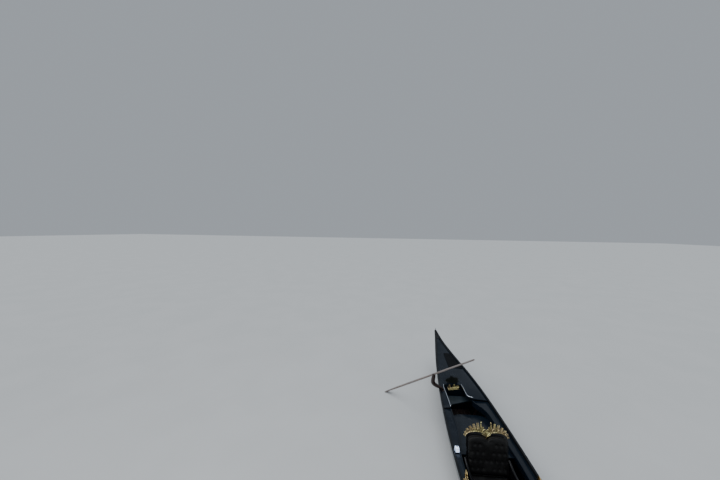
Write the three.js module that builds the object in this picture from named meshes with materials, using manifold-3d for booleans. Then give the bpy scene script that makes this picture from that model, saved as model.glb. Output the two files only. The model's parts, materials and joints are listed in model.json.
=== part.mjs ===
import * as THREE from 'three';
import { mergeVertices } from 'three/addons/utils/BufferGeometryUtils.js';
import Module from 'manifold-3d';

// A Venetian rowing boat with a flat bottom, a hard chine and a lopsided hull, wider to port.
// Millimetres. +X is towards the bow, +Y to port, +Z up.
// The origin is on the centreline, at mid-length, at the waterline.

// Hull planking and the gap that touching pieces keep.
const PLANK = 20;
const BOTTOM = 22;
const GAP = 0.3;
const FIT = 0.7;
const SLIVER = 0.05;
const STATION_STEP = 200;
const SIDE_SWELL = 0.11;

// Where the planking ends and the two posts begin.
const STERN_TIP_X = -5400;
const HULL_AFT_X = -5000;
const HULL_FORE_X = 4800;
const STEM_X = 5200;

// The bottom planking is butted end to end at these places.
const BOTTOM_LENGTHS = [
  { name: 'aft', aft: HULL_AFT_X, fore: -1800 },
  { name: 'middle', aft: -1800, fore: 1800 },
  { name: 'fore', aft: 1800, fore: HULL_FORE_X },
];

// Each row is one station of the hull.
// Columns: x, sheer height, keel height, gunwale half-breadth to starboard and to port,
// chine half-breadth to starboard and to port.
const STATIONS = [
  [-5400, 1252, 1185, 20, 20, 12, 12],
  [-4900, 1088, 650, 100, 128, 45, 56],
  [-4400, 960, 390, 190, 274, 98, 138],
  [-3900, 866, 215, 275, 413, 160, 240],
  [-3400, 794, 80, 347, 543, 225, 335],
  [-2600, 697, -70, 446, 683, 305, 450],
  [-1600, 597, -160, 537, 783, 370, 520],
  [-500, 524, -195, 590, 830, 405, 550],
  [600, 481, -200, 604, 827, 415, 550],
  [1700, 490, -170, 585, 780, 400, 520],
  [2700, 540, -90, 520, 680, 350, 450],
  [3500, 620, 10, 430, 545, 280, 355],
  [4200, 740, 150, 310, 375, 190, 230],
  [4700, 860, 310, 200, 230, 110, 125],
  [5000, 950, 470, 100, 105, 50, 50],
  [5200, 1020, 740, 24, 24, 14, 14],
];

// Inner edge of the side decks. Columns: x, starboard, port.
const COAMINGS = [
  [-2330, 300, 300],
  [-2230, 300, 340],
  [-2090, 300, 460],
  [-1880, 298, 540],
  [-1620, 300, 572],
  [-1380, 312, 590],
  [-1000, 375, 612],
  [-700, 425, 640],
  [600, 440, 645],
  [1700, 415, 590],
  [2120, 375, 545],
];

// How far the gunwale cap reaches in over the deck. Columns: x, reach.
const CAP_REACH = [
  [-5400, 30],
  [-4200, 28],
  [-3100, 10],
  [5200, 10],
];

// A side of the boat: the sign of its y, and its columns in the tables above.
const STARBOARD = { name: 'starboard', sign: -1, gunwale: 3, chine: 5, coaming: 1 };
const PORT = { name: 'port', sign: 1, gunwale: 4, chine: 6, coaming: 2 };
const SIDES = [STARBOARD, PORT];

// Gunwale caps.
const CAP_RISE = 22;
const CAP_DROP = 62;
const CAP_PROUD = 16;
const CAP_STAND_OFF = 2;

// Decks.
const DECK = 20;
const DECK_DROP = 10;
const STERN_CAMBER = 0.03;
const BOW_CAMBER = 0.055;
const BOW_DECK_X = 2120;
const WELL_AFT_X = -2830;
const PORT_ARM_X = -2330;
const STARBOARD_ARM_X = -2010;
const SIDE_DECK_DROP = 34;
const COAMING = 22;
const COAMING_RISE = 20;
const COAMING_DEPTH = 130;

// Frames and floors.
const FRAME_HEIGHT = 60;
const FRAME_WIDTH = 40;
const FRAME_KNEE = 38;
const FRAME_X = [-2600, -2200, -1800, -1400, -1000, -600, -200, 200, 600, 1000, 1400, 1800];
const FLOOR = 18;
const FLOOR_END = 5;
const FLOOR_SIDE = 2;

// Main seat, for two.
const SEAT_Y = 40;
const SEAT_WIDTH = 780;
const SEAT_BACK_X = -640;
const SEAT_FRONT_X = -130;
const SEAT_BOX_TOP = 170;
const CUSHION_TOP = 292;
const BACK_LEAN = 0.14;
const ARCH_SPRING_Z = 915;
const ARCH_RISE = 90;
const ARCH_HALF = SEAT_WIDTH / 4;

// Rowing gear.
const ROWLOCK_X = -2640;
const ROWLOCK_Y = -361;
const ROWLOCK_LEG = { halfAlong: 27, halfAcross: 22, play: 0.5 };
const OAR_PIVOT = new THREE.Vector3(-2579, -637, 1120);
const OAR_AZIMUTH = 51.7;
const OAR_RISE = 36.3;
const OAR_RADIUS = 25;
const OAR_CLEARANCE = 0.8;
const OAR_SWING_AFT = 10;
const OAR_SWING_FORE = 65;
const OAR_SPARE = 2;
const SHAFT_REACH = 200;

const COLOURS = {
  lacquer: [0x0b0c0e, 0.22, 0.0],
  deck: [0x12161b, 0.28, 0.0],
  floor: [0x1d1512, 0.55, 0.0],
  cloth: [0x0d0d10, 0.75, 0.0],
  mat: [0x08090a, 0.9, 0.0],
  gilt: [0xc79a45, 0.35, 1.0],
  brass: [0xb9924e, 0.3, 1.0],
  steel: [0xb9bdc2, 0.32, 1.0],
  walnut: [0x4a2a1b, 0.45, 0.0],
  oar: [0xb59c8a, 0.5, 0.0],
  leaf: [0x10140f, 0.5, 0.0],
  lamp: [0xe9f0ff, 0.3, 0.0],
};

const group = new THREE.Group();
const wasm = await Module();
wasm.setup();

// Value of one column of a table at x, on a smooth curve through its rows.
function along(rows, column, x) {
  const last = rows.length - 1;
  let i = 0;
  while (i < last - 1 && x > rows[i + 1][0]) i += 1;
  const slopeAt = (j) => {
    const before = rows[Math.max(j - 1, 0)];
    const after = rows[Math.min(j + 1, last)];
    return (after[column] - before[column]) / (after[0] - before[0]);
  };
  const span = rows[i + 1][0] - rows[i][0];
  const t = THREE.MathUtils.clamp((x - rows[i][0]) / span, 0, 1);
  const start = rows[i][column];
  const end = rows[i + 1][column];
  const bend = t * t * (3 - 2 * t);
  const lead = t * (1 - t) * (1 - t) * span * slopeAt(i);
  const trail = t * t * (t - 1) * span * slopeAt(i + 1);
  return start + (end - start) * bend + lead + trail;
}

// Value of a hull column on the straight runs between stations, where every piece meets the skin.
function station(column, x) {
  const before = Math.floor(x / STATION_STEP) * STATION_STEP;
  const from = along(STATIONS, column, before);
  const to = along(STATIONS, column, before + STATION_STEP);
  return from + ((to - from) * (x - before)) / STATION_STEP;
}

function sheer(x) {
  return station(1, x);
}

function keel(x) {
  return station(2, x);
}

// Outside half-breadth of the hull at a height. Each side is three straight strakes,
// and the middle one stands out a little.
function outside(side, x, z) {
  const t = THREE.MathUtils.clamp((z - keel(x)) / (sheer(x) - keel(x)), 0, 1);
  const chine = station(side.chine, x);
  const gunwale = station(side.gunwale, x);
  const swell = SIDE_SWELL * Math.min(1, 3 * t, 3 * (1 - t));
  return chine + (gunwale - chine) * (t + swell);
}

// Heights of the strakes' edges, from the bottom planking up.
function strakes(x) {
  const height = sheer(x) - keel(x);
  return [keel(x) + BOTTOM + GAP, keel(x) + height / 3, keel(x) + (2 * height) / 3, sheer(x)];
}

// Half-breadth of the room between the planking, less a fitting gap.
function inside(side, x, z, gap = FIT) {
  return outside(side, x, z) - PLANK - gap;
}

function floorTop(x) {
  return keel(x) + BOTTOM + GAP + FRAME_HEIGHT + GAP + FLOOR;
}

// Stations of the side decks' inner edges, closer together where the port one curves.
function coamingStations(from, to) {
  const knots = [...steps(-2350, -1600, 15), ...steps(-1400, 2200, 18)];
  return [from, ...knots.filter((x) => x > from && x < to), to];
}

function coaming(side, x) {
  const knots = coamingStations(-2400, 2400);
  const i = knots.findLastIndex((knot) => knot <= x);
  const from = along(COAMINGS, side.coaming, knots[i]);
  const to = along(COAMINGS, side.coaming, knots[i + 1]);
  return from + ((to - from) * (x - knots[i])) / (knots[i + 1] - knots[i]);
}

// Stations of the hull's own grid between two ends, with the ends.
function stations(from, to) {
  const list = [from];
  for (let x = Math.ceil(from / STATION_STEP) * STATION_STEP; x < to; x += STATION_STEP) {
    if (x > from) list.push(x);
  }
  list.push(to);
  return list;
}

function steps(from, to, count) {
  return Array.from({ length: count + 1 }, (_, i) => from + ((to - from) * i) / count);
}

function point(x, y, z) {
  return new THREE.Vector3(x, y, z);
}

// Triangles that close a flat loop of points.
function capFaces(loop, first) {
  const normal = new THREE.Vector3();
  loop.forEach((p, i) => {
    const q = loop[(i + 1) % loop.length];
    normal.add(new THREE.Vector3().crossVectors(p, q));
  });
  const helper = Math.abs(normal.z) > 0.9 * normal.length() ? point(1, 0, 0) : point(0, 0, 1);
  const u = new THREE.Vector3().crossVectors(helper, normal).normalize();
  const v = new THREE.Vector3().crossVectors(normal, u).normalize();
  const flat = loop.map((p) => new THREE.Vector2(p.dot(u), p.dot(v)));
  return THREE.ShapeUtils.triangulateShape(flat, []).map((face) => face.map((k) => k + first));
}

function signedVolume(points, faces) {
  return faces.reduce((sum, [a, b, c]) => {
    const cross = new THREE.Vector3().crossVectors(points[b], points[c]);
    return sum + points[a].dot(cross);
  }, 0);
}

// Closed solid through a row of loops that all have the same number of points.
function loft(loops) {
  const size = loops[0].length;
  const points = loops.flat();
  const faces = [];
  for (let i = 0; i + 1 < loops.length; i += 1) {
    for (let j = 0; j < size; j += 1) {
      const a = i * size + j;
      const b = i * size + ((j + 1) % size);
      faces.push([a, b, b + size], [a, b + size, a + size]);
    }
  }
  const lastFirst = (loops.length - 1) * size;
  capFaces(loops[0], 0).forEach(([a, b, c]) => faces.push([c, b, a]));
  capFaces(loops.at(-1), lastFirst).forEach((face) => faces.push(face));
  const outward = signedVolume(points, faces) > 0;
  const index = faces.flatMap(([a, b, c]) => (outward ? [a, b, c] : [a, c, b]));
  const geometry = new THREE.BufferGeometry();
  geometry.setFromPoints(points);
  geometry.setIndex(index);
  geometry.computeVertexNormals();
  return geometry;
}

function box(low, high) {
  const size = high.clone().sub(low);
  const geometry = new THREE.BoxGeometry(size.x, size.y, size.z);
  const middle = low.clone().add(high).multiplyScalar(0.5);
  return geometry.translate(middle.x, middle.y, middle.z);
}

// A flat outline in x and y, given thickness from one height up to another.
function plate(outline, low, high) {
  const shape = new THREE.Shape(outline.map(([x, y]) => new THREE.Vector2(x, y)));
  const geometry = new THREE.ExtrudeGeometry(shape, { depth: high - low, bevelEnabled: false });
  return geometry.translate(0, 0, low);
}

// A shape drawn in y and z, given thickness along x.
function across(shape, xLow, xHigh, curveSegments = 6) {
  const settings = { depth: xHigh - xLow, bevelEnabled: false, curveSegments };
  const geometry = new THREE.ExtrudeGeometry(shape, settings);
  const turn = new THREE.Matrix4().makeBasis(point(0, 1, 0), point(0, 0, 1), point(1, 0, 0));
  return geometry.applyMatrix4(turn).translate(xLow, 0, 0);
}

// A shape drawn in x and z, given thickness about a middle y.
function upright(shape, yMiddle, thickness, curveSegments = 6) {
  const settings = { depth: thickness, bevelEnabled: false, curveSegments };
  const geometry = new THREE.ExtrudeGeometry(shape, settings);
  return geometry.rotateX(Math.PI / 2).translate(0, yMiddle + thickness / 2, 0);
}

function solid(geometry) {
  const copy = geometry.clone();
  copy.deleteAttribute('normal');
  copy.deleteAttribute('uv');
  const merged = mergeVertices(copy, 1e-3);
  return new wasm.Manifold(new wasm.Mesh({
    numProp: 3,
    vertProperties: new Float32Array(merged.attributes.position.array),
    triVerts: new Uint32Array(merged.index.array),
  }));
}

// Back to a geometry, with the slivers that a cut leaves closed up.
function geometryOf(manifold) {
  const mesh = manifold.getMesh();
  const raw = new THREE.BufferGeometry();
  const positions = new Float32Array(mesh.vertProperties);
  raw.setAttribute('position', new THREE.BufferAttribute(positions, 3));
  raw.setIndex(new THREE.BufferAttribute(new Uint32Array(mesh.triVerts), 1));
  const geometry = mergeVertices(raw, SLIVER);
  const corners = Array.from(geometry.index.array);
  const kept = [];
  for (let i = 0; i < corners.length; i += 3) {
    const [a, b, c] = corners.slice(i, i + 3);
    if (a !== b && b !== c && c !== a) kept.push(a, b, c);
  }
  geometry.setIndex(kept);
  geometry.computeVertexNormals();
  return geometry;
}

function join(geometries) {
  return geometryOf(geometries.map(solid).reduce((all, next) => all.add(next)));
}

function cut(geometry, tools) {
  const cutters = tools.map(solid).reduce((all, next) => all.add(next));
  return geometryOf(solid(geometry).subtract(cutters));
}

function add(name, geometry, colour) {
  const [color, roughness, metalness] = COLOURS[colour];
  const material = new THREE.MeshStandardMaterial({ color, roughness, metalness });
  const mesh = new THREE.Mesh(geometry, material);
  mesh.name = name;
  group.add(mesh);
  return mesh;
}

// Outer skin: bottom, two sides and the posts that close the ends.

function makeBottom({ name, aft, fore }) {
  const loops = stations(aft, fore - GAP).map((x) => {
    const low = keel(x);
    const right = -station(STARBOARD.chine, x);
    const left = station(PORT.chine, x);
    return [point(x, right, low), point(x, left, low),
      point(x, left, low + BOTTOM), point(x, right, low + BOTTOM)];
  });
  add(`bottom_${name}`, loft(loops), 'lacquer');
}

function makeSide(side) {
  const loops = stations(HULL_AFT_X, HULL_FORE_X).map((x) => {
    const levels = strakes(x);
    const outer = levels.map((z) => point(x, side.sign * outside(side, x, z), z));
    const inner = levels.map((z) => point(x, side.sign * inside(side, x, z, 0), z));
    return [...outer, ...inner.reverse()];
  });
  add(`side_planking_${side.name}`, loft(loops), 'lacquer');
}

function makePost(name, from, to) {
  const loops = steps(from, to, 8).map((x) => {
    const levels = [keel(x), ...strakes(x).slice(1)];
    const right = levels.map((z) => point(x, -outside(STARBOARD, x, z), z));
    const left = levels.map((z) => point(x, outside(PORT, x, z), z));
    return [...right, ...left.reverse()];
  });
  add(name, loft(loops), 'lacquer');
}

function makeGunwaleCap(side) {
  const loops = stations(STERN_TIP_X, STEM_X).map((x) => {
    const z = sheer(x);
    const lowest = Math.max(z - CAP_DROP, keel(x) + BOTTOM);
    const skin = outside(side, x, z) + FIT;
    const skinLow = outside(side, x, lowest) + CAP_STAND_OFF;
    const reach = Math.max(skin - PLANK - along(CAP_REACH, 1, x), 2);
    const corners = [
      [reach, z + GAP],
      [reach, z + CAP_RISE - 6],
      [reach + 6, z + CAP_RISE],
      [skin + CAP_PROUD - 6, z + CAP_RISE],
      [skin + CAP_PROUD, z + CAP_RISE - 6],
      [skinLow + CAP_PROUD, lowest],
      [skinLow, lowest],
      [skin, z + GAP],
    ];
    return corners.map(([half, height]) => point(x, side.sign * half, height));
  });
  add(`gunwale_cap_${side.name}`, loft(loops), 'lacquer');
}

// Decks.

// Top of a cambered deck at a point of its width.
function deckTop(x, y, camber) {
  const z = sheer(x) - DECK_DROP;
  const right = -inside(STARBOARD, x, z);
  const left = inside(PORT, x, z);
  const t = (y - right) / (left - right);
  return z + camber * (left - right) * 4 * t * (1 - t);
}

function camberedDeck(from, to, camber) {
  return loft(stations(from, to).map((x) => {
    const edge = sheer(x) - DECK_DROP;
    const right = -inside(STARBOARD, x, edge - DECK);
    const left = inside(PORT, x, edge - DECK);
    const top = steps(right, left, 8).map((y) => point(x, y, deckTop(x, y, camber)));
    const below = top.map((p) => point(x, p.y, p.z - DECK));
    return [...top, ...below.reverse()];
  }));
}

// Outline of the notch in the stern deck's fore end, from starboard round to port.
const WELL_EDGE = [
  [STARBOARD_ARM_X, -300],
  [-2390, -300],
  [-2720, -316],
  [-2800, -285],
  [WELL_AFT_X, -225],
  [WELL_AFT_X, 118],
  [-2806, 154],
  [-2740, 178],
  [-2430, 180],
  [-2365, 205],
  [-2338, 262],
  [PORT_ARM_X, 330],
];

const ROWLOCK_BLOCK = { length: 150, width: 62, top: 8, depth: 110 };

function rowlockBlockBox(extra) {
  const { length, width, top, depth } = ROWLOCK_BLOCK;
  const z = sheer(ROWLOCK_X) - DECK_DROP + top;
  const low = point(ROWLOCK_X - length / 2 - extra, ROWLOCK_Y - width / 2 - extra, z - depth);
  const high = point(ROWLOCK_X + length / 2 + extra, ROWLOCK_Y + width / 2 + extra, z);
  return { low, high };
}

function makeSternDeck() {
  const deck = camberedDeck(HULL_AFT_X, STARBOARD_ARM_X, STERN_CAMBER);
  const beyond = 1200;
  const notch = [[0, WELL_EDGE[0][1]], ...WELL_EDGE, [PORT_ARM_X, beyond], [0, beyond]];
  const { low, high } = rowlockBlockBox(GAP);
  const socket = box(low, high.clone().setZ(high.z + DECK));
  add('stern_deck', cut(deck, [plate(notch, 0, 2 * beyond), socket]), 'deck');
}

function makeBowDeck() {
  add('bow_deck', camberedDeck(BOW_DECK_X, HULL_FORE_X, BOW_CAMBER), 'deck');
}

function makeSideDeck(side, from) {
  const loops = coamingStations(from + GAP, BOW_DECK_X - GAP).map((x) => {
    const top = sheer(x) - SIDE_DECK_DROP;
    const edge = coaming(side, x);
    const corners = [
      [inside(side, x, top), top],
      [edge + COAMING, top],
      [edge + COAMING, top + COAMING_RISE],
      [edge, top + COAMING_RISE],
      [edge, top - COAMING_DEPTH],
      [edge + COAMING, top - COAMING_DEPTH],
      [edge + COAMING, top - DECK],
      [inside(side, x, top - DECK), top - DECK],
    ];
    return corners.map(([half, z]) => point(x, side.sign * half, z));
  });
  add(`side_deck_${side.name}`, loft(loops), 'deck');
}

// A cross panel between the sides, from the bottom planking up to a height.
function crossPanel(from, to, top) {
  return loft([from, to].map((x) => {
    const levels = [...strakes(x).filter((z) => z < top - 5), top];
    const right = levels.map((z) => point(x, -inside(STARBOARD, x, z), z));
    const left = levels.map((z) => point(x, inside(PORT, x, z), z));
    return [...right, ...left.reverse()];
  }));
}

const BULKHEAD = 20;

function makeBulkheads() {
  const sternTop = sheer(WELL_AFT_X) - DECK_DROP - DECK - 1;
  add('stern_bulkhead', crossPanel(WELL_AFT_X - BULKHEAD, WELL_AFT_X, sternTop), 'lacquer');
  const bowFrom = BOW_DECK_X + GAP;
  const bowTop = sheer(bowFrom) - DECK_DROP - DECK - 1;
  add('bow_bulkhead', crossPanel(bowFrom, bowFrom + BULKHEAD, bowTop), 'lacquer');
}

// Thwarts. The fore edge runs from one place on the starboard side to another on the port side.
const STERN_THWART = { aft: -2700, starboard: [-2340, -200], port: [-2530, 280], top: 500, thickness: 26 };
const BOW_THWART = { aft: 1820, starboard: [2090, -200], port: [2090, 200], top: 300, thickness: 28 };

function makeThwart(name, { aft, starboard, port, top, thickness }) {
  const low = top - thickness;
  const outline = [
    ...stations(aft, starboard[0]).map((x) => [x, -inside(STARBOARD, x, low)]),
    starboard,
    port,
    ...stations(aft, port[0]).reverse().map((x) => [x, inside(PORT, x, low)]),
  ];
  add(name, plate(outline, low, top), 'lacquer');
}

// Frames: ribs across the bottom with knees up both sides, joined by a keelson.

function ribLoop(x) {
  const underThwart = x > STERN_THWART.aft && x < STERN_THWART.port[0];
  const deck = sheer(x) - SIDE_DECK_DROP - DECK - 1;
  const high = underThwart ? STERN_THWART.top - STERN_THWART.thickness - GAP : deck;
  const levels = [...strakes(x).slice(0, 3), high];
  const top = levels[0] + FRAME_HEIGHT;
  const inner = [top, levels[1], levels[2], high];
  const outer = (side, z) => inside(side, x, z);
  return [
    ...levels.map((z) => point(x, -outer(STARBOARD, z), z)),
    ...inner.toReversed().map((z) => point(x, FRAME_KNEE - outer(STARBOARD, z), z)),
    ...inner.map((z) => point(x, outer(PORT, z) - FRAME_KNEE, z)),
    ...levels.toReversed().map((z) => point(x, outer(PORT, z), z)),
  ];
}

function makeFrames() {
  const ribs = FRAME_X.map((x) => loft([x - FRAME_WIDTH / 2, x + FRAME_WIDTH / 2].map(ribLoop)));
  const ends = [FRAME_X[0] - 100, FRAME_X.at(-1) + 100];
  const keelson = loft(stations(...ends).map((x) => {
    const low = keel(x) + BOTTOM + 2 * GAP;
    return [point(x, -40, low), point(x, 100, low), point(x, 100, low + 30), point(x, -40, low + 30)];
  }));
  add('frames', join([keelson, ...ribs]), 'floor');
}

// Floor boards on the frames, between two ends.
function makeFloor(name, from, to) {
  const loops = stations(from, to).map((x) => {
    const top = floorTop(x);
    const low = top - FLOOR;
    const right = -inside(STARBOARD, x, low) + FRAME_KNEE + FLOOR_SIDE;
    const left = inside(PORT, x, low) - FRAME_KNEE - FLOOR_SIDE;
    return [point(x, right, low), point(x, left, low), point(x, left, top), point(x, right, top)];
  });
  add(name, loft(loops), 'floor');
}

// Low platform behind the seat, with round corners aft, on the panel that closes it aft.

const PLATFORM = { aft: -2030, fore: -850, top: 468, thickness: 22, corner: 200 };
const PLATFORM_PANEL = { x: -2000, thickness: 20, right: -110, left: 430 };

function makePlatform() {
  const { aft, fore, top, thickness, corner } = PLATFORM;
  const edge = (side, x) => {
    const turn = Math.acos(THREE.MathUtils.clamp((aft + corner - x) / corner, 0, 1));
    const arc = coaming(side, aft + corner) - corner * (1 - Math.sin(turn));
    return Math.min(coaming(side, x), x < aft + corner ? arc : Infinity) - FIT;
  };
  const curve = steps(aft, aft + corner, 8).slice(0, -1);
  const line = [...curve, ...coamingStations(aft + corner, fore)];
  const outline = [
    ...line.toReversed().map((x) => [x, -edge(STARBOARD, x)]),
    ...line.map((x) => [x, edge(PORT, x)]),
  ];
  const { x, thickness: panelThickness, right, left } = PLATFORM_PANEL;
  const [panelAft, panelFore] = [x - panelThickness / 2, x + panelThickness / 2];
  const low = Math.max(keel(panelAft), keel(panelFore)) + BOTTOM + FRAME_HEIGHT + 2 * GAP;
  const panel = box(point(panelAft, right, low), point(panelFore, left, top - thickness / 2));
  add('rear_platform', join([plate(outline, top - thickness, top), panel]), 'deck');
}

// Strip that follows a line on a deck, standing on it.
function strip(line, width, height, base) {
  return loft(line.map(([x, y], i) => {
    const [ax, ay] = line[Math.max(i - 1, 0)];
    const [bx, by] = line[Math.min(i + 1, line.length - 1)];
    const run = Math.hypot(bx - ax, by - ay);
    const nx = -(by - ay) / run;
    const ny = (bx - ax) / run;
    const z = Math.max(base(x, y), base(x + nx * width, y + ny * width));
    return [[0, 0], [width, 0], [width, height], [0, height]]
      .map(([out, up]) => point(x + nx * out, y + ny * out, z + up));
  }));
}

// Bright rails along the two sides of the notch in the stern deck.
const RAIL = { width: 14, height: 26, margin: 2, stand: 0.9 };

function makeWellRails() {
  const { width, height, margin, stand } = RAIL;
  const onDeck = (x, y) => deckTop(x, y, STERN_CAMBER) + stand;
  const starboard = WELL_EDGE.slice(0, 4).map(([x, y]) => [x, y - margin]);
  const port = WELL_EDGE.slice(6).map(([x, y]) => [x, y + margin]);
  add('well_rail_starboard', strip(starboard, width, height, onDeck), 'steel');
  add('well_rail_port', strip(port, width, height, onDeck), 'steel');
}

// Mat on the stern deck.
const FOOT_MAT = { aft: -4250, fore: -3560, inner: 35, margin: 60, thickness: 14, stand: 1 };

function makeFootMat() {
  const { aft, fore, inner, margin, thickness, stand } = FOOT_MAT;
  const loops = stations(aft, fore).map((x) => {
    const outer = inside(PORT, x, sheer(x)) - margin;
    const low = steps(inner, outer, 3).map((y) => point(x, y, deckTop(x, y, STERN_CAMBER) + stand));
    return [...low, ...low.map((p) => point(x, p.y, p.z + thickness)).reverse()];
  });
  add('foot_mat', loft(loops), 'mat');
}

// Irons at the two ends.

const IRON = 12;

// Six forward teeth of the bow iron: the top one's height and tip, and how they follow on down.
const TEETH = { count: 6, top: 1136, tip: 5424, root: 5300, pitch: 62, height: 34, set: 5, round: 8 };

function bowIronShape() {
  const front = STEM_X + GAP;
  const strap = 26;
  const tail = stations(4600, HULL_FORE_X);
  const stem = steps(HULL_FORE_X, STEM_X, 4).slice(1);
  const line = [...tail, ...stem].map((x) => [x, keel(x) - GAP]);
  const shape = new THREE.Shape();
  shape.moveTo(...line[0]);
  line.slice(1).forEach(([x, z]) => shape.lineTo(x, z));
  shape.lineTo(front, keel(STEM_X));
  // Up the stem's face, round the single tooth that points aft, to the neck.
  shape.lineTo(front, 1062);
  shape.lineTo(5096, 1062);
  shape.quadraticCurveTo(5080, 1080, 5096, 1098);
  shape.lineTo(5206, 1098);
  // The broad blade on top.
  shape.quadraticCurveTo(5160, 1250, 5236, 1390);
  shape.quadraticCurveTo(5268, 1450, 5330, 1478);
  shape.quadraticCurveTo(5462, 1400, 5440, 1262);
  shape.quadraticCurveTo(5424, 1190, 5304, 1170);
  // Teeth that point forward, from the top one down.
  for (let tooth = 0; tooth < TEETH.count; tooth += 1) {
    const top = TEETH.top - tooth * TEETH.pitch;
    const low = top - TEETH.height;
    const tip = TEETH.tip - tooth * TEETH.set;
    shape.lineTo(TEETH.root, top);
    shape.lineTo(tip - TEETH.round, top);
    shape.quadraticCurveTo(tip, (top + low) / 2, tip - TEETH.round, low);
    shape.lineTo(TEETH.root, low);
  }
  // Back down along the stem as a narrow strap.
  shape.quadraticCurveTo(5292, 720, 5232, 690);
  const low = line.slice(0, -1).reverse();
  low.forEach(([x, z]) => shape.lineTo(x + strap * 0.35, z - strap));
  return shape;
}

function makeBowIron() {
  add('bow_iron', upright(bowIronShape(), 0, IRON, 4), 'steel');
}

function makeSternIron() {
  const back = STERN_TIP_X - GAP;
  const shape = new THREE.Shape();
  shape.moveTo(back, 1180);
  shape.lineTo(back, 1282);
  shape.quadraticCurveTo(back + 4, 1330, back + 52, 1338);
  shape.quadraticCurveTo(back + 84, 1336, back + 82, 1304);
  shape.quadraticCurveTo(back + 96, 1362, back + 40, 1362);
  shape.quadraticCurveTo(back - 34, 1354, back - 30, 1260);
  shape.lineTo(back - 24, 1180);
  add('stern_iron', upright(shape, 0, IRON, 4), 'steel');
}

// Main seat.

// Leans a geometry aft with height, from the top of the seat cushion up.
function lean(geometry) {
  const shear = new THREE.Matrix4().set(
    1, 0, -BACK_LEAN, BACK_LEAN * CUSHION_TOP,
    0, 1, 0, 0,
    0, 0, 1, 0,
    0, 0, 0, 1,
  );
  return geometry.applyMatrix4(shear);
}

// Points of one arch of the seat back, from starboard to port.
function archLine(middle, half, rise, count) {
  return steps(Math.PI, 0, count).map((angle) => {
    const y = middle + half * Math.cos(angle);
    return new THREE.Vector2(y, ARCH_SPRING_Z + rise * Math.sin(angle));
  });
}

const SEAT_RIGHT = SEAT_Y - SEAT_WIDTH / 2;
const SEAT_LEFT = SEAT_Y + SEAT_WIDTH / 2;
const ARCH_MIDDLES = [SEAT_Y - ARCH_HALF, SEAT_Y + ARCH_HALF];
const CUSHION_SET = 6;
const BACK_BOARD = 24;
const BACK_BOARD_X = SEAT_BACK_X - 26;
const BACK_BOARD_FOOT = 60;
const BACK_PAD = { thickness: 78, inset: 5, drop: 14, stand: 3 };

function makeSeatBox() {
  const low = Math.max(floorTop(SEAT_BACK_X), floorTop(SEAT_FRONT_X)) + GAP;
  const base = box(point(SEAT_BACK_X, SEAT_RIGHT, low), point(SEAT_FRONT_X, SEAT_LEFT, SEAT_BOX_TOP));
  add('seat_box', base, 'lacquer');
  const cushion = box(
    point(SEAT_BACK_X + CUSHION_SET, SEAT_RIGHT + CUSHION_SET, SEAT_BOX_TOP + GAP),
    point(SEAT_FRONT_X - CUSHION_SET, SEAT_LEFT - CUSHION_SET, CUSHION_TOP),
  );
  add('seat_cushion', cushion, 'cloth');
}

function makeSeatBackBoard() {
  const low = SEAT_BOX_TOP - BACK_BOARD_FOOT;
  const outline = [
    new THREE.Vector2(SEAT_RIGHT, low),
    ...archLine(ARCH_MIDDLES[0], ARCH_HALF, ARCH_RISE, 12),
    ...archLine(ARCH_MIDDLES[1], ARCH_HALF, ARCH_RISE, 12).slice(1),
    new THREE.Vector2(SEAT_LEFT, low),
  ];
  const board = across(new THREE.Shape(outline), BACK_BOARD_X - BACK_BOARD, BACK_BOARD_X);
  add('seat_back_board', lean(board), 'lacquer');
}

// Upholstered back with one arch for each of its two places.
function makeSeatBack() {
  const back = BACK_BOARD_X + GAP;
  const [right, left] = ARCH_MIDDLES;
  const half = ARCH_HALF - BACK_PAD.inset;
  const rise = ARCH_RISE - BACK_PAD.drop;
  const low = CUSHION_TOP + BACK_PAD.stand;
  const outline = [
    new THREE.Vector2(right - half, low),
    ...archLine(right, half, rise, 10),
    ...archLine(left, half, rise, 10),
    new THREE.Vector2(left + half, low),
  ];
  const pad = across(new THREE.Shape(outline), back, back + BACK_PAD.thickness);
  add('seat_back', lean(pad), 'cloth');
}

// Outer edge of the crest's carved leaves, from the dip in its middle out to one end.
// Columns: distance from the seat's middle, height.
const CREST_EDGE = [
  [38, 1084],
  [44, 1158],
  [78, 1216],
  [108, 1182],
  [150, 1208],
  [186, 1172],
  [234, 1186],
  [262, 1140],
  [312, 1144],
  [328, 1098],
  [376, 1092],
  [380, 1044],
  [412, 1026],
  [402, 980],
  [416, 946],
];

const CREST = { thickness: 34, lap: 4, dip: 1036 };

// Gilded crest of carved leaves that stands on the two arches of the back board.
function makeCrest() {
  const seat = (middle) => archLine(middle, ARCH_HALF, ARCH_RISE + GAP, 12);
  const [right, left] = ARCH_MIDDLES;
  const outline = [
    ...CREST_EDGE.toReversed().map(([distance, z]) => new THREE.Vector2(SEAT_Y - distance, z)),
    new THREE.Vector2(SEAT_Y, CREST.dip),
    ...CREST_EDGE.map(([distance, z]) => new THREE.Vector2(SEAT_Y + distance, z)),
    ...seat(left).reverse(),
    ...seat(right).reverse().slice(1),
  ];
  const front = BACK_BOARD_X + CREST.lap;
  add('seat_crest', lean(across(new THREE.Shape(outline), front - CREST.thickness, front)), 'gilt');
}

// Arms of the seat: a scrolled board on each side.
const ARM = { width: 44, depth: 150, height: 210, back: 4, front: 40 };

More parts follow.
